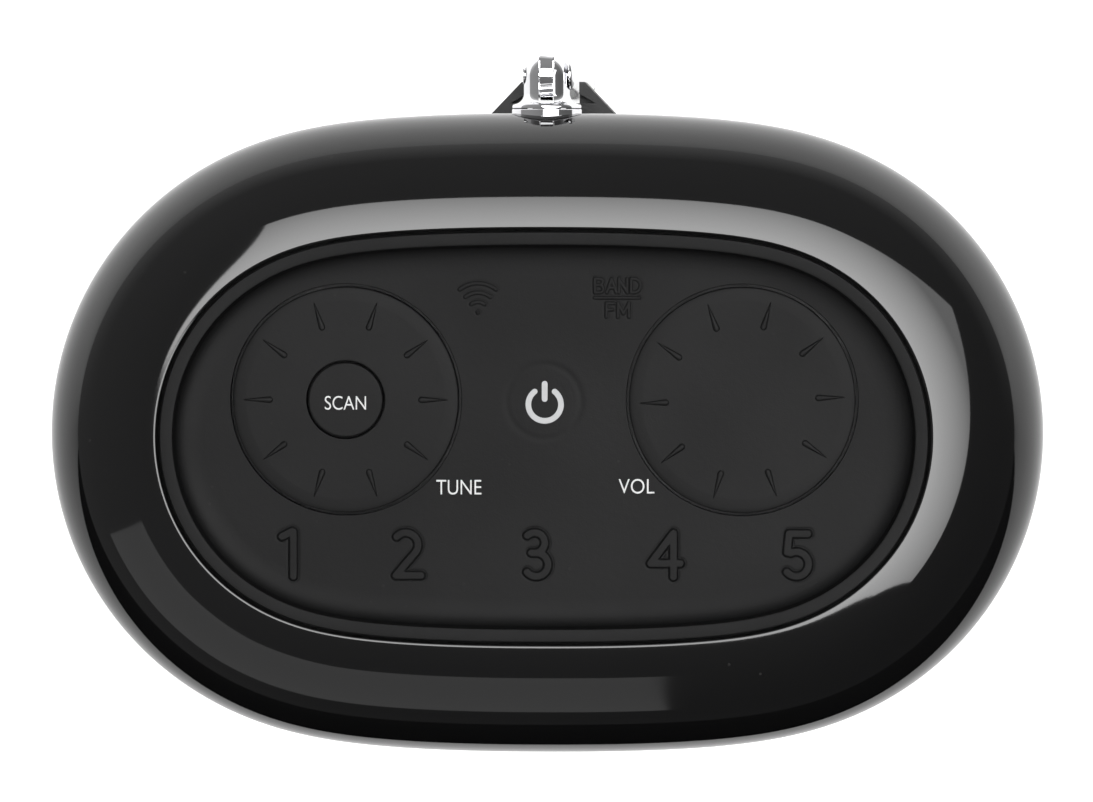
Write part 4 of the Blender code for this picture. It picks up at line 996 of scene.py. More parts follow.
# %% [markdown]
# ## The perforated grille
# The front of the cabinet is a sheet of painted steel, pierced with a few thousand staggered round
# holes and rolled round the outline. Cutting that many holes with booleans would be slow and fragile.
# The tree lays one pierced cell on every place of a staggered grid, joins them to a plain border,
# and then rolls the flat sheet: a point's X becomes a length walked along the guide line.

# %% The flat cell and the flat border
grille_low, grille_high = node_box("front_grille")
SEAM = grille_high[1]
PITCH, ROW, HOLE, SHEET = 3.2, 2.77, 1.05, 0.9


def front_line(count):
    """The front half of the outline, anticlockwise from one seam to the other, evenly spaced."""
    fine = [p for p in even_outline(3600, math.pi / 2)[0] if p[1] < SEAM]
    fine.sort(key=lambda p: math.atan2(p[0], -p[1]))
    walk = np.cumsum([0.0] + [math.dist(a, b) for a, b in zip(fine, fine[1:])])
    wanted = np.linspace(0, walk[-1], count)
    xs, ys = np.interp(wanted, walk, [p[0] for p in fine]), np.interp(wanted, walk, [p[1] for p in fine])
    return [(x, y, 0) for x, y in zip(xs, ys)], float(walk[-1])


guide_points, guide_length = front_line(360)
TALL = grille_high[2] - grille_low[2]
columns = int((guide_length - 6) // PITCH)
rows = int((TALL - 6) // ROW)
rows -= rows % 2
side = (guide_length - columns * PITCH) / 2
foot = grille_low[2] + (TALL - rows * ROW) / 2


def pierced_cell():
    """A flat cell about its own centre: a rectangle with a round hole, twelve quads."""
    w, h = PITCH / 2, ROW / 2
    border = [(w, -h / 2), (w, 0), (w, h / 2), (w, h), (0, h), (-w, h)]
    border += [(-w, h / 2), (-w, 0), (-w, -h / 2), (-w, -h), (0, -h), (w, -h)]
    bm = bmesh.new()
    out = [bm.verts.new((x, 0, z)) for x, z in border]
    hole = [bm.verts.new((HOLE * x / math.hypot(x, z), 0, HOLE * z / math.hypot(x, z))) for x, z in border]
    for i in range(12):
        j = (i + 1) % 12
        bm.faces.new((out[i], out[j], hole[j], hole[i]))
    return finish_mesh("cell", bm, grille_paint, recalc=False)


def add_sheet(bm, xs, zs):
    grid = [[bm.verts.new((x, 0, z)) for z in zs] for x in xs]
    for i in range(len(xs) - 1):
        for j in range(len(zs) - 1):
            bm.faces.new((grid[i][j], grid[i + 1][j], grid[i + 1][j + 1], grid[i][j + 1]))


def flat_border():
    bm = bmesh.new()
    half_steps = [side + PITCH / 2 * i for i in range(2 * columns + 1)]
    quarter_rows = [foot + ROW / 4 * i for i in range(4 * rows + 1)]
    xs = [0, side / 2] + half_steps + [guide_length - side / 2, guide_length]
    add_sheet(bm, xs, [grille_low[2], foot])
    add_sheet(bm, xs, [foot + rows * ROW, grille_high[2]])
    for a, b in ((0, side), (guide_length - side, guide_length)):
        add_sheet(bm, [a, (a + b) / 2, b], quarter_rows)
    for row in range(1, rows, 2):
        levels = [foot + ROW * (row + k / 4) for k in range(5)]
        for a in (side, guide_length - side - PITCH / 2):
            add_sheet(bm, [a, a + PITCH / 2], levels)
    return finish_mesh("grille_skin", bm, grille_paint, recalc=False)


print("grille", columns, "columns by", rows, "rows")

# %% The tree that repeats the cell and rolls the sheet
roll_tree, g_in, g_out = new_tree(
    "pierced_sheet_rolled_on_a_line",
    [
        ("Cell", OBJECT, None),
        ("Guide", OBJECT, None),
        ("Columns", INTEGER, 10),
        ("Rows", INTEGER, 10),
        ("Pitch", FLOAT, 0.003),
        ("Row Step", FLOAT, 0.0026),
        ("Side", FLOAT, 0.0),
        ("Foot", FLOAT, 0.0),
        ("Material", MATERIAL, None),
    ],
)
link = roll_tree.links.new


def work(operation, *values):
    return math_node(roll_tree, operation, *values)


places = add(roll_tree, "GeometryNodeMeshLine", Offset=(0, 0, 0))
index = add(roll_tree, "GeometryNodeInputIndex").outputs[0]
link(work("MULTIPLY", g_in.outputs["Columns"], g_in.outputs["Rows"]), places.inputs["Count"])
row = work("FLOOR", work("DIVIDE", index, g_in.outputs["Columns"]))
column = work("SUBTRACT", index, work("MULTIPLY", row, g_in.outputs["Columns"]))
odd = work("MODULO", row, 2.0)
shift = work("MULTIPLY_ADD", odd, 0.5, 0.5)
across = work("MULTIPLY_ADD", work("ADD", column, shift), g_in.outputs["Pitch"], g_in.outputs["Side"])
up = work("MULTIPLY_ADD", work("ADD", row, 0.5), g_in.outputs["Row Step"], g_in.outputs["Foot"])
spot = add(roll_tree, "ShaderNodeCombineXYZ")
link(across, spot.inputs["X"])
link(up, spot.inputs["Z"])
spread_out = add(roll_tree, "GeometryNodeSetPosition")
connect(roll_tree, (places, 0, spread_out, "Geometry"), (spot, 0, spread_out, "Position"))
last_one = work("COMPARE", column, work("SUBTRACT", g_in.outputs["Columns"], 1.0), 0.5)
keep = work("SUBTRACT", 1.0, work("MULTIPLY", odd, last_one))
cell_info = add(roll_tree, "GeometryNodeObjectInfo")
connect(roll_tree, (g_in, "Cell", cell_info, "Object"))
cells = add(roll_tree, "GeometryNodeInstanceOnPoints")
connect(roll_tree, (spread_out, 0, cells, "Points"))
link(keep, cells.inputs["Selection"])
connect(roll_tree, (cell_info, "Geometry", cells, "Instance"))
real = add(roll_tree, "GeometryNodeRealizeInstances")
connect(roll_tree, (cells, 0, real, 0))
whole = add(roll_tree, "GeometryNodeJoinGeometry")
connect(roll_tree, (real, 0, whole, 0), (g_in, "Geometry", whole, 0))
welded = add(roll_tree, "GeometryNodeMergeByDistance", Distance=0.00001)
connect(roll_tree, (whole, 0, welded, "Geometry"))
guide_info = add(roll_tree, "GeometryNodeObjectInfo")
guide_curve = add(roll_tree, "GeometryNodeMeshToCurve")
connect(roll_tree, (g_in, "Guide", guide_info, "Object"), (guide_info, "Geometry", guide_curve, 0))
where = add(roll_tree, "GeometryNodeInputPosition")
apart = add(roll_tree, "ShaderNodeSeparateXYZ")
connect(roll_tree, (where, 0, apart, 0))
walked = add(roll_tree, "GeometryNodeSampleCurve", mode="LENGTH")
connect(roll_tree, (guide_curve, 0, walked, "Curves"), (apart, "X", walked, "Length"))
lift = add(roll_tree, "ShaderNodeCombineXYZ")
connect(roll_tree, (apart, "Z", lift, "Z"))
arrived = add(roll_tree, "ShaderNodeVectorMath")
connect(roll_tree, (walked, "Position", arrived, 0), (lift, 0, arrived, 1))
rolled = add(roll_tree, "GeometryNodeSetPosition")
connect(roll_tree, (welded, 0, rolled, "Geometry"), (arrived, 0, rolled, "Position"))
close_tree(roll_tree, g_in, g_out, rolled.outputs[0])

# %% Roll the grille and give the sheet its thickness
grille = flat_border()
cell = pierced_cell()
guide_line = wire("guide", guide_points, closed=False)
grow(grille, roll_tree, {
    "Cell": cell, "Guide": guide_line, "Columns": columns, "Rows": rows, "Pitch": PITCH * MM, "Row Step": ROW * MM,
    "Side": side * MM, "Foot": foot * MM, "Material": grille_paint,
})
bpy.data.objects.remove(cell)
bpy.data.objects.remove(guide_line)
thick = grille.modifiers.new("thickness", "SOLIDIFY")
thick.thickness, thick.offset = SHEET * MM, -1.0
bake(grille)
grille.data.shade_smooth()
grille.data.set_sharp_from_angle(angle=math.radians(35))
place_piece(grille, "radio", ["front_grille"])

# %% [markdown]
# ## Display window
# A smoked pane fills the opening in the front of the shoulder, and follows the shell's curve. It is
# the same swept wall, kept only inside a block with rounded corners. Behind it a dark panel carries a
# blank display area, so the pane has something to look through to.

# %% Pane and panel
def smoked_glass():
    made = bpy.data.materials.new("smoked_pane")
    made.use_nodes = True
    tree = made.node_tree
    shader = tree.nodes["Principled BSDF"]
    adjust(shader, Coat_Weight=0.4, Alpha=0.86)
    place = add(tree, "ShaderNodeTexCoord")
    tint = add(tree, "ShaderNodeTexNoise", Scale=30.0, Detail=2.0)
    mix = add(tree, "ShaderNodeMix", data_type="RGBA")
    mix.inputs[6].default_value = (0.004, 0.0045, 0.005, 1)
    mix.inputs[7].default_value = (0.007, 0.0075, 0.008, 1)
    polish = add(tree, "ShaderNodeGroup", node_tree=polish_group, Low=0.02, High=0.05)
    connect(
        tree,
        (place, "Object", tint, "Vector"), (place, "Object", polish, "Vector"), (tint, 0, mix, 0),
        (mix, 2, shader, "Base Color"), (polish, "Roughness", shader, "Roughness"),
    )
    return made


pane_look = smoked_glass()
pane = swept("smoked_pane", [(0.02, 150), (0.02, 186), (2.0, 186), (2.0, 150)], pane_look)
carve(pane, window_block("keep", 0.0, 2.3, 8), "INTERSECT")
tidy_normals(pane, 30, pane_look)
place_piece(pane, "radio", ["display_window"])

panel_low, panel_high = node_box("display_module")
panel_look = make_finish("display_panel", (0.012, 0.014, 0.016), (0.016, 0.018, 0.020), 0.3, 0.4, patch=200.0)
lcd_look = make_finish("display_area", (0.05, 0.065, 0.07), (0.06, 0.075, 0.08), 0.25, 0.3, patch=300.0)
panel = rounded_block("display_panel", panel_low, panel_high, 1.2, 5, "Y", panel_look, 0.15)
place_piece(panel, "radio", ["display_module"])
LCD_HALF, LCD_MARGIN = 21.5, 4.5
lcd_low = (-LCD_HALF, panel_low[1] - 0.12, panel_low[2] + LCD_MARGIN)
lcd_high = (LCD_HALF, panel_low[1] + 0.3, panel_high[2] - LCD_MARGIN)
lcd = rounded_block("display_area", lcd_low, lcd_high, 0.8, 5, "Y", lcd_look, 0.05)
place_piece(lcd, "radio")

# %% [markdown]
# ## Rear wall
# The back half of the cabinet is textured black plastic with a small bay for the sockets. It is swept
# like the shell, cut to its half with one block, and then the bay is joined and hollowed out with the
# same order of cuts a toolmaker would use.

# %% Sweep, halve, and cut the socket bay
rear_low, rear_high = node_box("rear_housing")
flap_low, flap_high = node_box("port_flap")
low, high = rear_low[2], rear_high[2]
REAR_WALL = 2.4
profile = [(0.25, low), (0.06, low + 0.07), (0, low + 0.25), (0, high - 0.25), (0.06, high - 0.07), (0.25, high)]
profile += [(REAR_WALL, high), (REAR_WALL, low)]
rear = swept("rear_wall", profile, matte_plastic)
carve(rear, rounded_block("keep", (-80, rear_low[1], low - 5), (80, 80, high + 5)), "INTERSECT")
LIP_IN, LIP_SHORT = 4.9, 0.6
for inset, start in ((4.0, rear_low[1] - 1.5), (2.2, rear_low[1])):
    line = [(inset, low + LIP_SHORT), (inset, high - LIP_SHORT), (LIP_IN, high - LIP_SHORT), (LIP_IN, low + LIP_SHORT)]
    lip = swept("lip", line, matte_plastic)
    carve(lip, rounded_block("keep", (-80, start, low), (80, rear_low[1] + 1.2, high)), "INTERSECT")
    carve(rear, lip, "UNION")
half, z_low, z_high = flap_high[0] + GAP, flap_low[2] - GAP, flap_high[2] + GAP
bay_back = node_box("usb_socket")[1][1] - GAP
mid_z = (z_low + z_high) / 2
BAY_WALL = 1.2
bay_low = (-half - BAY_WALL, bay_back - BAY_WALL, z_low - BAY_WALL)
bay_high = (half + BAY_WALL, wall_y(half + BAY_WALL, BAY_WALL), z_high + BAY_WALL)
carve(rear, rounded_block("bay", bay_low, bay_high, 2.0, 5, "Y"), "UNION")
carve(rear, rounded_block("mouth", (-half, bay_back, z_low), (half, HALF_DEPTH + 3, z_high), 1.6, 6, "Y"))
usb_low, usb_high = node_box("usb_socket")
slot_low = (usb_low[0] - GAP, bay_back - 5, usb_low[2] - GAP)
slot_high = (usb_high[0] + GAP, bay_back + 2, usb_high[2] + GAP)
carve(rear, rounded_block("slot", slot_low, slot_high, 0.8, 5, "Y"))
jack_low, jack_high = node_box("aux_socket")
jack_x, jack_r = (jack_low[0] + jack_high[0]) / 2, (jack_high[0] - jack_low[0]) / 2
bore(rear, jack_r + GAP, bay_back - 5, bay_back + 2, (jack_x, 0, mid_z), "Y")
POST_X, POST_Y = 38.5, 15.5
for x in (-POST_X, POST_X):
    bore(rear, 3.2, low + 0.2, low + 9.8, (x, POST_Y, 0), "Z", 32, "UNION")
    far = wall_y(x, REAR_WALL) + 0.8
    carve(rear, rounded_block("web", (x - 1.2, POST_Y + 2, low + 0.5), (x + 1.2, far, low + 9.4)), "UNION")
    bore(rear, 1.45, low - 1, low + 11, (x, POST_Y, 0), "Z", 24)
tidy_normals(rear, 30, matte_plastic)
place_piece(rear, "radio", ["rear_housing"])

# %% Flap, with a finger notch and a groove round its middle
NOTCH_CLEAR = 2.8


def flap_block(name, inset, depth, proud, radius):
    """A block over the flap's outer face, inset from its edges and clear of the notch."""
    low = (flap_low[0] + inset, flap_high[1] - depth, flap_low[2] + inset)
    high = (flap_high[0] - inset - NOTCH_CLEAR, flap_high[1] + proud, flap_high[2] - inset)
    return rounded_block(name, low, high, radius, 6, "Y")


flap = rounded_block("socket_flap", flap_low, flap_high, 1.4, 6, "Y", key_rubber, 0.25)
bore(flap, 4.0, -1.2, 1.0, (flap_high[0] + 1.6, flap_high[1] + 0.5, mid_z), "Y", 48)
carve(flap, carve(flap_block("groove", 1.6, 0.25, 1, 1.0), flap_block("inner", 2.1, 2, 2, 0.7)))
tidy_normals(flap, 30, key_rubber)
place_piece(flap, "flap", ["port_flap"])

# %% [markdown]
# ## Base cover, foot and screws
# The underside is a gloss tub with a wide radius, closed by four pan-head screws in counterbores, and
# it stands on a soft foot with three drip grooves. The tub and the foot are swept on the outline. The
# four screws are one mesh with a cross recess, set on four points by a tree.

# %% Tub and foot
base_low, base_high = node_box("base_cover")
radius, wall = 8.0, 2.5
outer = [(radius - x, base_low[2] + radius - z) for x, z in arc((0, 0), radius, 90, 0, 14)]
inner = [(radius - x, base_low[2] + radius - z) for x, z in arc((0, 0), radius - wall, 0, 90, 8)]
top_edge = [(0, base_high[2] - 0.3), (0.08, base_high[2] - 0.08), (0.3, base_high[2]), (wall, base_high[2])]
tub = swept("base_tub", outer + top_edge + inner, gloss_black, closed=False)
screw_spots = [node_centre(f"base_screw_{n}")[:2] for n in (1, 2, 3, 4)]
for x, y in screw_spots:
    bore(tub, 4.1, base_low[2] + 0.5, base_high[2] - 0.15, (x, y, 0), operation="UNION")
    bore(tub, 2.8, base_low[2] - 1, base_low[2] + 1.7, (x, y, 0))
    bore(tub, 1.6, base_low[2] - 1, base_high[2] + 1, (x, y, 0), "Z", 32)
tidy_normals(tub, 30, gloss_black)
place_piece(tub, "radio", ["base_cover"])
foot_high = node_box("base_foot")[1]
line = [(10.0, foot_high[2]), (10.0, 1.1), (10.35, 0.45), (11.1, 0.0)]
for start in (12.6, 15.0, 17.4):
    line += [(start, 0.0), (start + 0.2, 0.6), (start + 0.8, 0.6), (start + 1.0, 0.0)]
foot_pad = swept("foot_pad", line + [(22.0, 0.0)], foot_rubber, closed=False)
tidy_normals(foot_pad, 30, foot_rubber)
place_piece(foot_pad, "radio", ["base_foot"])

# %% The screws: one mesh on four points
spot_tree, g_in, g_out = new_tree(
    "copies_on_points", [("Copy", OBJECT, None), ("Size", FLOAT, 1.0), ("Material", MATERIAL, None)]
)
copy_info = add(spot_tree, "GeometryNodeObjectInfo")
copies = add(spot_tree, "GeometryNodeInstanceOnPoints")
link = spot_tree.links.new
connect(
    spot_tree,
    (g_in, "Copy", copy_info, "Object"), (g_in, "Geometry", copies, "Points"),
    (copy_info, "Geometry", copies, "Instance"), (g_in, "Size", copies, "Scale"),
)
close_tree(spot_tree, g_in, g_out, copies.outputs[0])

screw_low, screw_high = node_box("base_screw_1")
tip = screw_high[2] - screw_low[2]
line = [(1.5, 0), (2.2, 0.25), (2.5, 0.75), (2.5, 1.4), (1.3, 1.4), (1.3, tip - 1.2), (0.5, tip)]
screw = turned("screw", line, zinc, steps=32)
for a, b in ((1.6, 0.28), (0.28, 1.6)):
    carve(screw, rounded_block("recess", (-a, -b, -1), (a, b, 0.9)))
mesh = bpy.data.meshes.new("base_screws")
mesh.from_pydata([(x * MM, y * MM, screw_low[2] * MM) for x, y in screw_spots], [], [])
base_screws = bpy.data.objects.new("base_screws", mesh)
bpy.context.scene.collection.objects.link(base_screws)
grow(base_screws, spot_tree, {"Copy": screw, "Size": 1.0, "Material": zinc})
bpy.data.objects.remove(screw)
tidy_normals(base_screws, 35, zinc)
place_piece(base_screws, "radio", [f"base_screw_{n}" for n in (1, 2, 3, 4)])

# %% [markdown]
# ## Aerial
# The aerial stands on a chromed knuckle: a flared foot, a short neck and a round-ended fork, pinned
# to the rod's flat tongue. The foot turns in a chrome ring that is set into the shell. Chrome shows
# every facet and every hard corner, so these pieces are turned with many steps and their cut edges
# are broken with a small bevel. The rest clip keeps the frame's arms, and its back is brought down
# to the wall's curve.

# %% Ring and knuckle
AXIS_Y, AXIS_Z = pivot[1], pivot[2]
knuckle_low = node_box("antenna_knuckle")[0]
NECK, PIN_BORE = 2.73, 1.05
foot_y = HALF_DEPTH + 2 * GAP - AXIS_Y
flare = [(4.1, foot_y), (4.1, foot_y + 0.25), (4.0, foot_y + 0.42)]
flare += [(NECK + 1.25 - dx, foot_y + 1.72 + dz) for dx, dz in arc((0, 0), 1.25, -75, 0, 10)]
dome = arc((0, 0), NECK, 0, 86, 18)
profile = [(2.3, knuckle_low[1] - AXIS_Y), (2.3, foot_y)] + flare + dome
ring_face = HALF_DEPTH + 0.5
ring_low = HALF_DEPTH - SHELL_WALL
collar = [(2.6, ring_low), (RING_RADIUS, ring_low), (RING_RADIUS, ring_face - 0.1)]
collar += [(RING_RADIUS - 0.1, ring_face), (2.6, ring_face)]
ring = turned("aerial_ring", collar, chrome, (0, 0, AXIS_Z), "Y", 96, closed=True)
tidy_normals(ring, 40, chrome)
place_piece(ring, "radio")
knuckle = turned("aerial_knuckle", profile, chrome, (0, AXIS_Y, AXIS_Z), "Y", 96)
carve(knuckle, rounded_block("slot", (-0.9, AXIS_Y - 3.3, AXIS_Z - 7), (0.9, AXIS_Y + 7, AXIS_Z + 7)))
bore(knuckle, PIN_BORE, -6, 6, (0, AXIS_Y, AXIS_Z), "X")
soften(knuckle, 0.42, 5, 50)
tidy_normals(knuckle, 40, chrome)
place_piece(knuckle, "aerial_base", ["antenna_knuckle"])

# %% Pin with two domed heads
pin_high = node_box("antenna_pin")[1]
seat, head = 2.68, 1.75


def pin_head(rise, radius):
    """Half a pin from its middle out: shank, shoulder and a dome."""
    turns = [math.radians(a) for a in (0, 20, 40, 60, 78)]
    dome = [(radius * math.cos(a), seat + 0.1 + (rise - 0.1) * math.sin(a)) for a in turns]
    return [(0.9, 0.0), (0.9, seat), (radius, seat)] + dome


proud, flush = pin_head(pin_high[0] - seat, head), pin_head(0.16, 1.1)
full = [(r, -h) for r, h in flush[::-1][:-1]] + proud[1:]
pin = turned("aerial_pin", full, chrome, (0, AXIS_Y, AXIS_Z), "X", 64)
tidy_normals(pin, 40, chrome)
place_piece(pin, "aerial_base", ["antenna_pin"])

# %% The rod: a tongued collar and four tubes that nest
ROD_START, ROD_END, TUBE_WALL, TUBE_GAP = 3.4, 120.0, 0.3, 0.15
COLLAR_END = 11.4
outer_r = 2.6
for n in range(1, 6):
    node = f"antenna_section_{n}"
    low, high = node_box(node)
    inner_r = outer_r - TUBE_WALL
    if n == 1:
        shape = [(outer_r - 0.9, -ROD_START), (outer_r - 0.45, -ROD_START - 0.08), (outer_r - 0.12, -ROD_START - 0.35)]
        shape += [(outer_r, -ROD_START - 0.75), (outer_r, -10.6), (outer_r - 0.12, -10.75)]
        shape += [(outer_r - 0.12, -11.25), (outer_r, -COLLAR_END), (outer_r, -ROD_END + 0.15)]
        shape += [(outer_r - 0.12, -ROD_END), (inner_r, -ROD_END), (inner_r, -COLLAR_END)]
        tube = turned("rod_1", shape, chrome, (0, AXIS_Y, AXIS_Z), "Z", 64)
        bore(tube, 3.0, -0.75, 0.75, (0, AXIS_Y, AXIS_Z), "X", 64, "UNION")
        carve(tube, rounded_block("web", (-0.75, AXIS_Y - 1.6, AXIS_Z - 4.4), (0.75, AXIS_Y + 1.6, AXIS_Z)), "UNION")
        bore(tube, PIN_BORE, -3, 3, (0, AXIS_Y, AXIS_Z), "X")
        soften(tube, 0.1, 2, 50)
    elif n < 5:
        top = high[2] - AXIS_Z
        shape = [(inner_r, top), (outer_r - 0.06, top), (outer_r, top - 0.1), (outer_r, -ROD_END + 0.1)]
        shape += [(outer_r - 0.08, -ROD_END), (inner_r, -ROD_END)]
        tube = turned(f"rod_{n}", shape, chrome, (0, AXIS_Y, AXIS_Z), "Z", 56, closed=True)
    else:
        top, end = high[2] - AXIS_Z, low[2] - AXIS_Z
        cap = -ROD_END - GAP
        shape = [(outer_r, top), (outer_r, cap), (2.2, cap), (2.5, cap - 0.12), (2.6, cap - 0.4), (2.6, cap - 1.5)]
        shape += [(2.42, cap - 1.7), (2.42, cap - 1.95), (2.6, cap - 2.15), (2.6, end + 1.5), (2.5, end + 0.8)]
        shape += [(2.2, end + 0.3), (1.6, end + 0.04), (0.9, end)]
        tube = turned("rod_5", shape, chrome, (0, AXIS_Y, AXIS_Z), "Z", 56)
    tidy_normals(tube, 40, chrome)
    place_piece(tube, f"aerial_{n}", [node])
    outer_r = inner_r - TUBE_GAP

# %% The rest clip: the frame's own arms, with its back fitted to the wall and its edges broken
clip = NODES["antenna_clip"].copy()
clip.data = NODES["antenna_clip"].data.copy()
clip.name, clip.parent = "rod_rest", None
for key in list(clip.keys()):
    del clip[key]
bpy.context.scene.collection.objects.link(clip)
bm = bmesh.new()
bm.from_mesh(clip.data)
bmesh.ops.remove_doubles(bm, verts=bm.verts, dist=1e-6)
bmesh.ops.dissolve_limit(bm, angle_limit=0.02, verts=bm.verts, edges=bm.edges)
seat_y = min(v.co.y for v in bm.verts) + 2 * GAP * MM
for v in bm.verts:
    if v.co.y < seat_y:
        v.co.y = min(v.co.y, (wall_y(v.co.x / MM) + FIT) * MM)
bm.to_mesh(clip.data)
bm.free()
clip_low, clip_high = node_box("antenna_clip")
wall_band = [(-FIT, clip_low[2] - 5), (-FIT, clip_high[2] + 5), (3.0, clip_high[2] + 5), (3.0, clip_low[2] - 5)]
carve(clip, swept("wall_band", wall_band, clip_plastic))
soften(clip, 0.2, 3, 20)
tidy_normals(clip, 50, clip_plastic)
place_piece(clip, "radio", ["antenna_clip"])

# %% [markdown]
# ## What lies inside
# Boards, switches, speaker parts and sockets keep the frame's own shapes, which are already right, and
# get a finish each. They show through the grille's holes, through the open flap and in cut-away views.

# %% Finishes for the inner parts
board = make_finish(
    "circuit_board", (0.006, 0.045, 0.020), (0.010, 0.075, 0.032), 0.28, 0.42, patch=260.0, coat=0.3, dust=0.05
)
switch_black = make_finish("switch_black", grey(0.02), grey(0.03), 0.4, 0.5, grain=0.2)
magnet_look = make_finish("ferrite", grey(0.05), grey(0.08), 0.5, 0.65, metallic=0.6, grain=0.5)
cone_look = make_finish(
    "pressed_paper", grey(0.016), grey(0.030), 0.8, 0.92, patch=150.0, grain=0.9, grain_scale=1800.0, dust=0.1
)
wrap = make_finish("battery_wrap", (0.012, 0.03, 0.09), (0.016, 0.04, 0.12), 0.3, 0.4, coat=0.3)
steel = make_finish("pressed_steel", grey(0.35), grey(0.45), 0.3, 0.42, metallic=1.0, grain=0.3)
SLOT_LOOKS = {
    "gloss_shell": gloss_black, "matte_shell": matte_plastic, "inner_plastic": dark_plastic,
    "clip_plastic": clip_plastic,
    "key_rubber": key_rubber, "foot_rubber": foot_rubber, "grille_steel": grille_paint, "chrome": chrome, "zinc": zinc,
    "circuit_board": board, "battery_wrap": wrap, "magnet": magnet_look, "cone": cone_look, "window": pane_look,
}
OWN_LOOKS = {"driver_basket": steel, "antenna_screw": zinc, "aux_socket": switch_black}
kept = 0
for row in frame["record"]["subparts"]:
    node = NODES[row["node"]]
    if node.hide_render:
        continue
    look = OWN_LOOKS.get(row["node"], SLOT_LOOKS[row["material_slot"]])
    if "switch" in row["node"]:
        look = switch_black
    for material_slot in node.material_slots:
        material_slot.material = look
    if not node.material_slots:
        node.data.materials.append(look)
    kept += 1
print("inner parts with a finish:", kept)

# %% The tongue inside the charging socket
tongue_low = (usb_low[0] + 1.6, usb_low[1] + 0.8, mid_z - 0.35)
tongue_high = (usb_high[0] - 1.6, usb_high[1] - 1.2, mid_z + 0.35)
tongue = rounded_block("socket_tongue", tongue_low, tongue_high, 0.3, 4, "Y", switch_black)
place_piece(tongue, "radio")

# %% [markdown]
# ## Studio
# The radio stands on a white table under one large softbox above and to the right, with a smaller strip
# at the front left. A gloss black shell has almost no colour of its own: what is seen on it is the
# shape of the lamps, so they are placed by the direction that the shoulder mirrors. They are sheets
# of emission that the camera can't see, and a dark card on the table keeps the shell's front black.

# %% Table, world and view
def glow(name, colour, strength):
    made = bpy.data.materials.new(name)
    made.use_nodes = True
    shader = made.node_tree.nodes["Principled BSDF"]
    adjust(shader, Base_Color=(0, 0, 0, 1), Roughness=1.0, Specular_IOR_Level=0.0)
    adjust(shader, Emission_Color=(*colour, 1), Emission_Strength=strength)
    return made


def stage_sheet(name, corners, look):
    mesh = bpy.data.meshes.new(name)
    mesh.from_pydata(corners, [], [list(range(len(corners)))])
    mesh.materials.append(look)
    sheet = bpy.data.objects.new(name, mesh)
    bpy.context.scene.collection.objects.link(sheet)
    sheet.visible_camera = False
    sheet.visible_shadow = False
    return sheet


table_look = bpy.data.materials.new("white_table")
table_look.use_nodes = True
shader = table_look.node_tree.nodes["Principled BSDF"]
adjust(shader, Base_Color=(0.4, 0.4, 0.4, 1), Roughness=0.9, Specular_IOR_Level=0.0, Emission_Color=(1, 1, 1, 1))
seen = add(table_look.node_tree, "ShaderNodeLightPath")
glow_level = add(table_look.node_tree, "ShaderNodeMapRange", To_Max=1.0)
where = add(table_look.node_tree, "ShaderNodeTexCoord")
along = add(table_look.node_tree, "ShaderNodeSeparateXYZ")
behind = add(table_look.node_tree, "ShaderNodeMapRange", From_Min=-0.05, From_Max=0.25, To_Min=0.5, To_Max=0.95)
connect(
    table_look.node_tree,
    (where, "Object", along, 0), (along, "Y", behind, "Value"), (behind, 0, glow_level, "To Min"),
    (seen, "Is Camera Ray", glow_level, "Value"), (glow_level, 0, shader, "Emission Strength"),
)
TABLE_HALF, CARD_EDGE = 3, -0.235


def flat_corners(far_edge, level):
    return [(x, y, level) for x, y in (
        (-TABLE_HALF, -TABLE_HALF), (TABLE_HALF, -TABLE_HALF), (TABLE_HALF, far_edge), (-TABLE_HALF, far_edge)
    )]


table = stage_sheet("table", flat_corners(TABLE_HALF, -0.0005), table_look)
table.visible_camera = True
stage_sheet("front_card", flat_corners(CARD_EDGE, 0.002), glow("card", (1, 1, 1), 0.0))

scene = bpy.context.scene
scene.view_settings.view_transform = "Standard"
world = bpy.data.worlds.new("studio")
scene.world = world
world.use_nodes = True
nodes = world.node_tree
background = nodes.nodes["Background"]
path = add(nodes, "ShaderNodeLightPath")
way = add(nodes, "ShaderNodeTexCoord")
parts = add(nodes, "ShaderNodeSeparateXYZ")
connect(nodes, (way, "Generated", parts, 0))


def world_math(operation, *values):
    return math_node(nodes, operation, *values)


side_light = world_math("MULTIPLY_ADD", world_math("SUBTRACT", parts.outputs["Y"], parts.outputs["X"]), 0.09, 0.20)
low_glow = world_math("MAXIMUM", world_math("MULTIPLY_ADD", parts.outputs["Z"], -4.0, 1.0), 0.0)
rear_glow = world_math("MULTIPLY", world_math("MAXIMUM", parts.outputs["Y"], 0.0), low_glow)
dim = world_math("MULTIPLY_ADD", rear_glow, 0.45, world_math("MAXIMUM", side_light, 0.06))
level = add(nodes, "ShaderNodeMix", data_type="FLOAT")
connect(nodes, (path, "Is Camera Ray", level, "Factor"))
nodes.links.new(dim, level.inputs[2])
level.inputs[3].default_value = 1.0
connect(nodes, (level, 0, background, "Strength"))
adjust(background, Color=(1, 1, 1, 1))

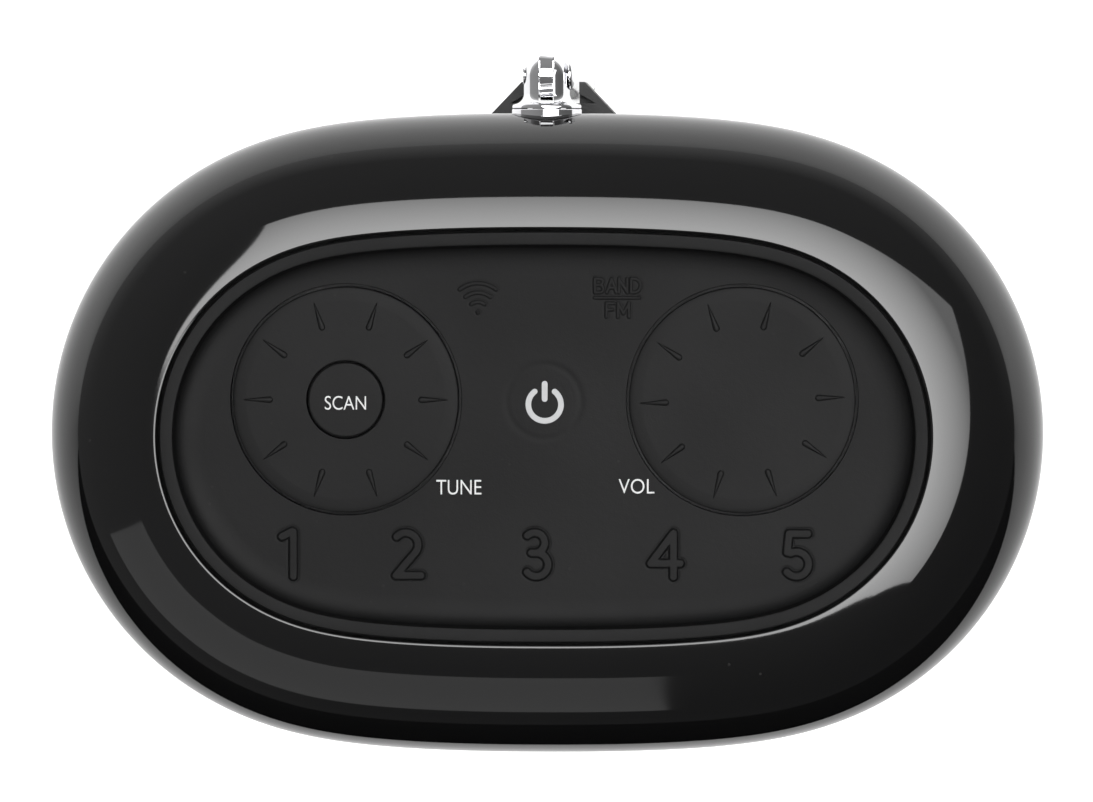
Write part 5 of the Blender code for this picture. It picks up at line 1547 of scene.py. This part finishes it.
# %% Softbox, strip and fill
def softbox(name, directions, height, near, far):
    """A sheet whose corners lie in the given (x, y) slopes, seen from the shell, at that height.

    It glows at near strength over the radio and fades to far at the edge, as a real box does.
    """
    corners = [(u * height, v * height, height + CREST * MM) for u, v in directions]
    look = glow(name + "_glow", (1, 1, 1), near)
    tree = look.node_tree
    place = add(tree, "ShaderNodeTexCoord")
    flat = add(tree, "ShaderNodeVectorMath", operation="MULTIPLY")
    flat.inputs[1].default_value = (1, 1, 0)
    length = add(tree, "ShaderNodeVectorMath", operation="LENGTH")
    fade = add(tree, "ShaderNodeMapRange", From_Min=0.05 * height, From_Max=0.95 * height, To_Min=near, To_Max=far)
    connect(tree, (place, "Object", flat, 0), (flat, 0, length, 0), (length, "Value", fade, "Value"))
    tree.links.new(fade.outputs[0], tree.nodes["Principled BSDF"].inputs["Emission Strength"])
    return stage_sheet(name, corners, look)


def polar(azimuth, from_top):
    reach = math.tan(math.radians(from_top))
    return reach * math.cos(math.radians(azimuth)), reach * math.sin(math.radians(azimuth))


box = [(-0.343, 0.575), (-0.16, -0.01), (0.0, -0.075), (0.18, -0.245), (0.50, -0.46), (1.42, 0.78), (0.4, 0.60)]
softbox("softbox", box, 2.0, 9.0, 2.6)
strip = [polar(a, 37) for a in (203, 220, 238, 255, 272)] + [polar(a, 76) for a in (272, 255, 238, 220, 203)]
softbox("strip", strip, 1.0, 1.05, 0.85)


def area(name, place, aim, size, power):
    data = bpy.data.lights.new(name, "AREA")
    data.size, data.energy = size, power
    lamp = bpy.data.objects.new(name, data)
    lamp.location = place
    lamp.rotation_euler = (Vector(aim) - Vector(place)).to_track_quat("-Z", "Y").to_euler()
    lamp.visible_glossy = False
    scene.collection.objects.link(lamp)


area("top_fill", (-0.3, -0.2, 1.8), (0, 0, 0.1), 1.2, 4)

# %% Camera: nearly straight down, from a little right of and behind the middle
data = bpy.data.cameras.new("camera")
data.sensor_width, data.lens = 36.0, 225.5
data.clip_start, data.clip_end = 0.05, 20
camera = bpy.data.objects.new("camera", data)
spot = Vector((0.027, 0.035, 1.0))
aim = Vector((0.0, 0.0038, 0.187))
ahead = (aim - spot).normalized()
right = ahead.cross(Vector((0, 1, 0))).normalized()
above = right.cross(ahead)
camera.matrix_world = Matrix.Translation(spot) @ Matrix((right, above, -ahead)).transposed().to_4x4()
scene.collection.objects.link(camera)
scene.camera = camera
print("camera", [round(v, 3) for v in spot])
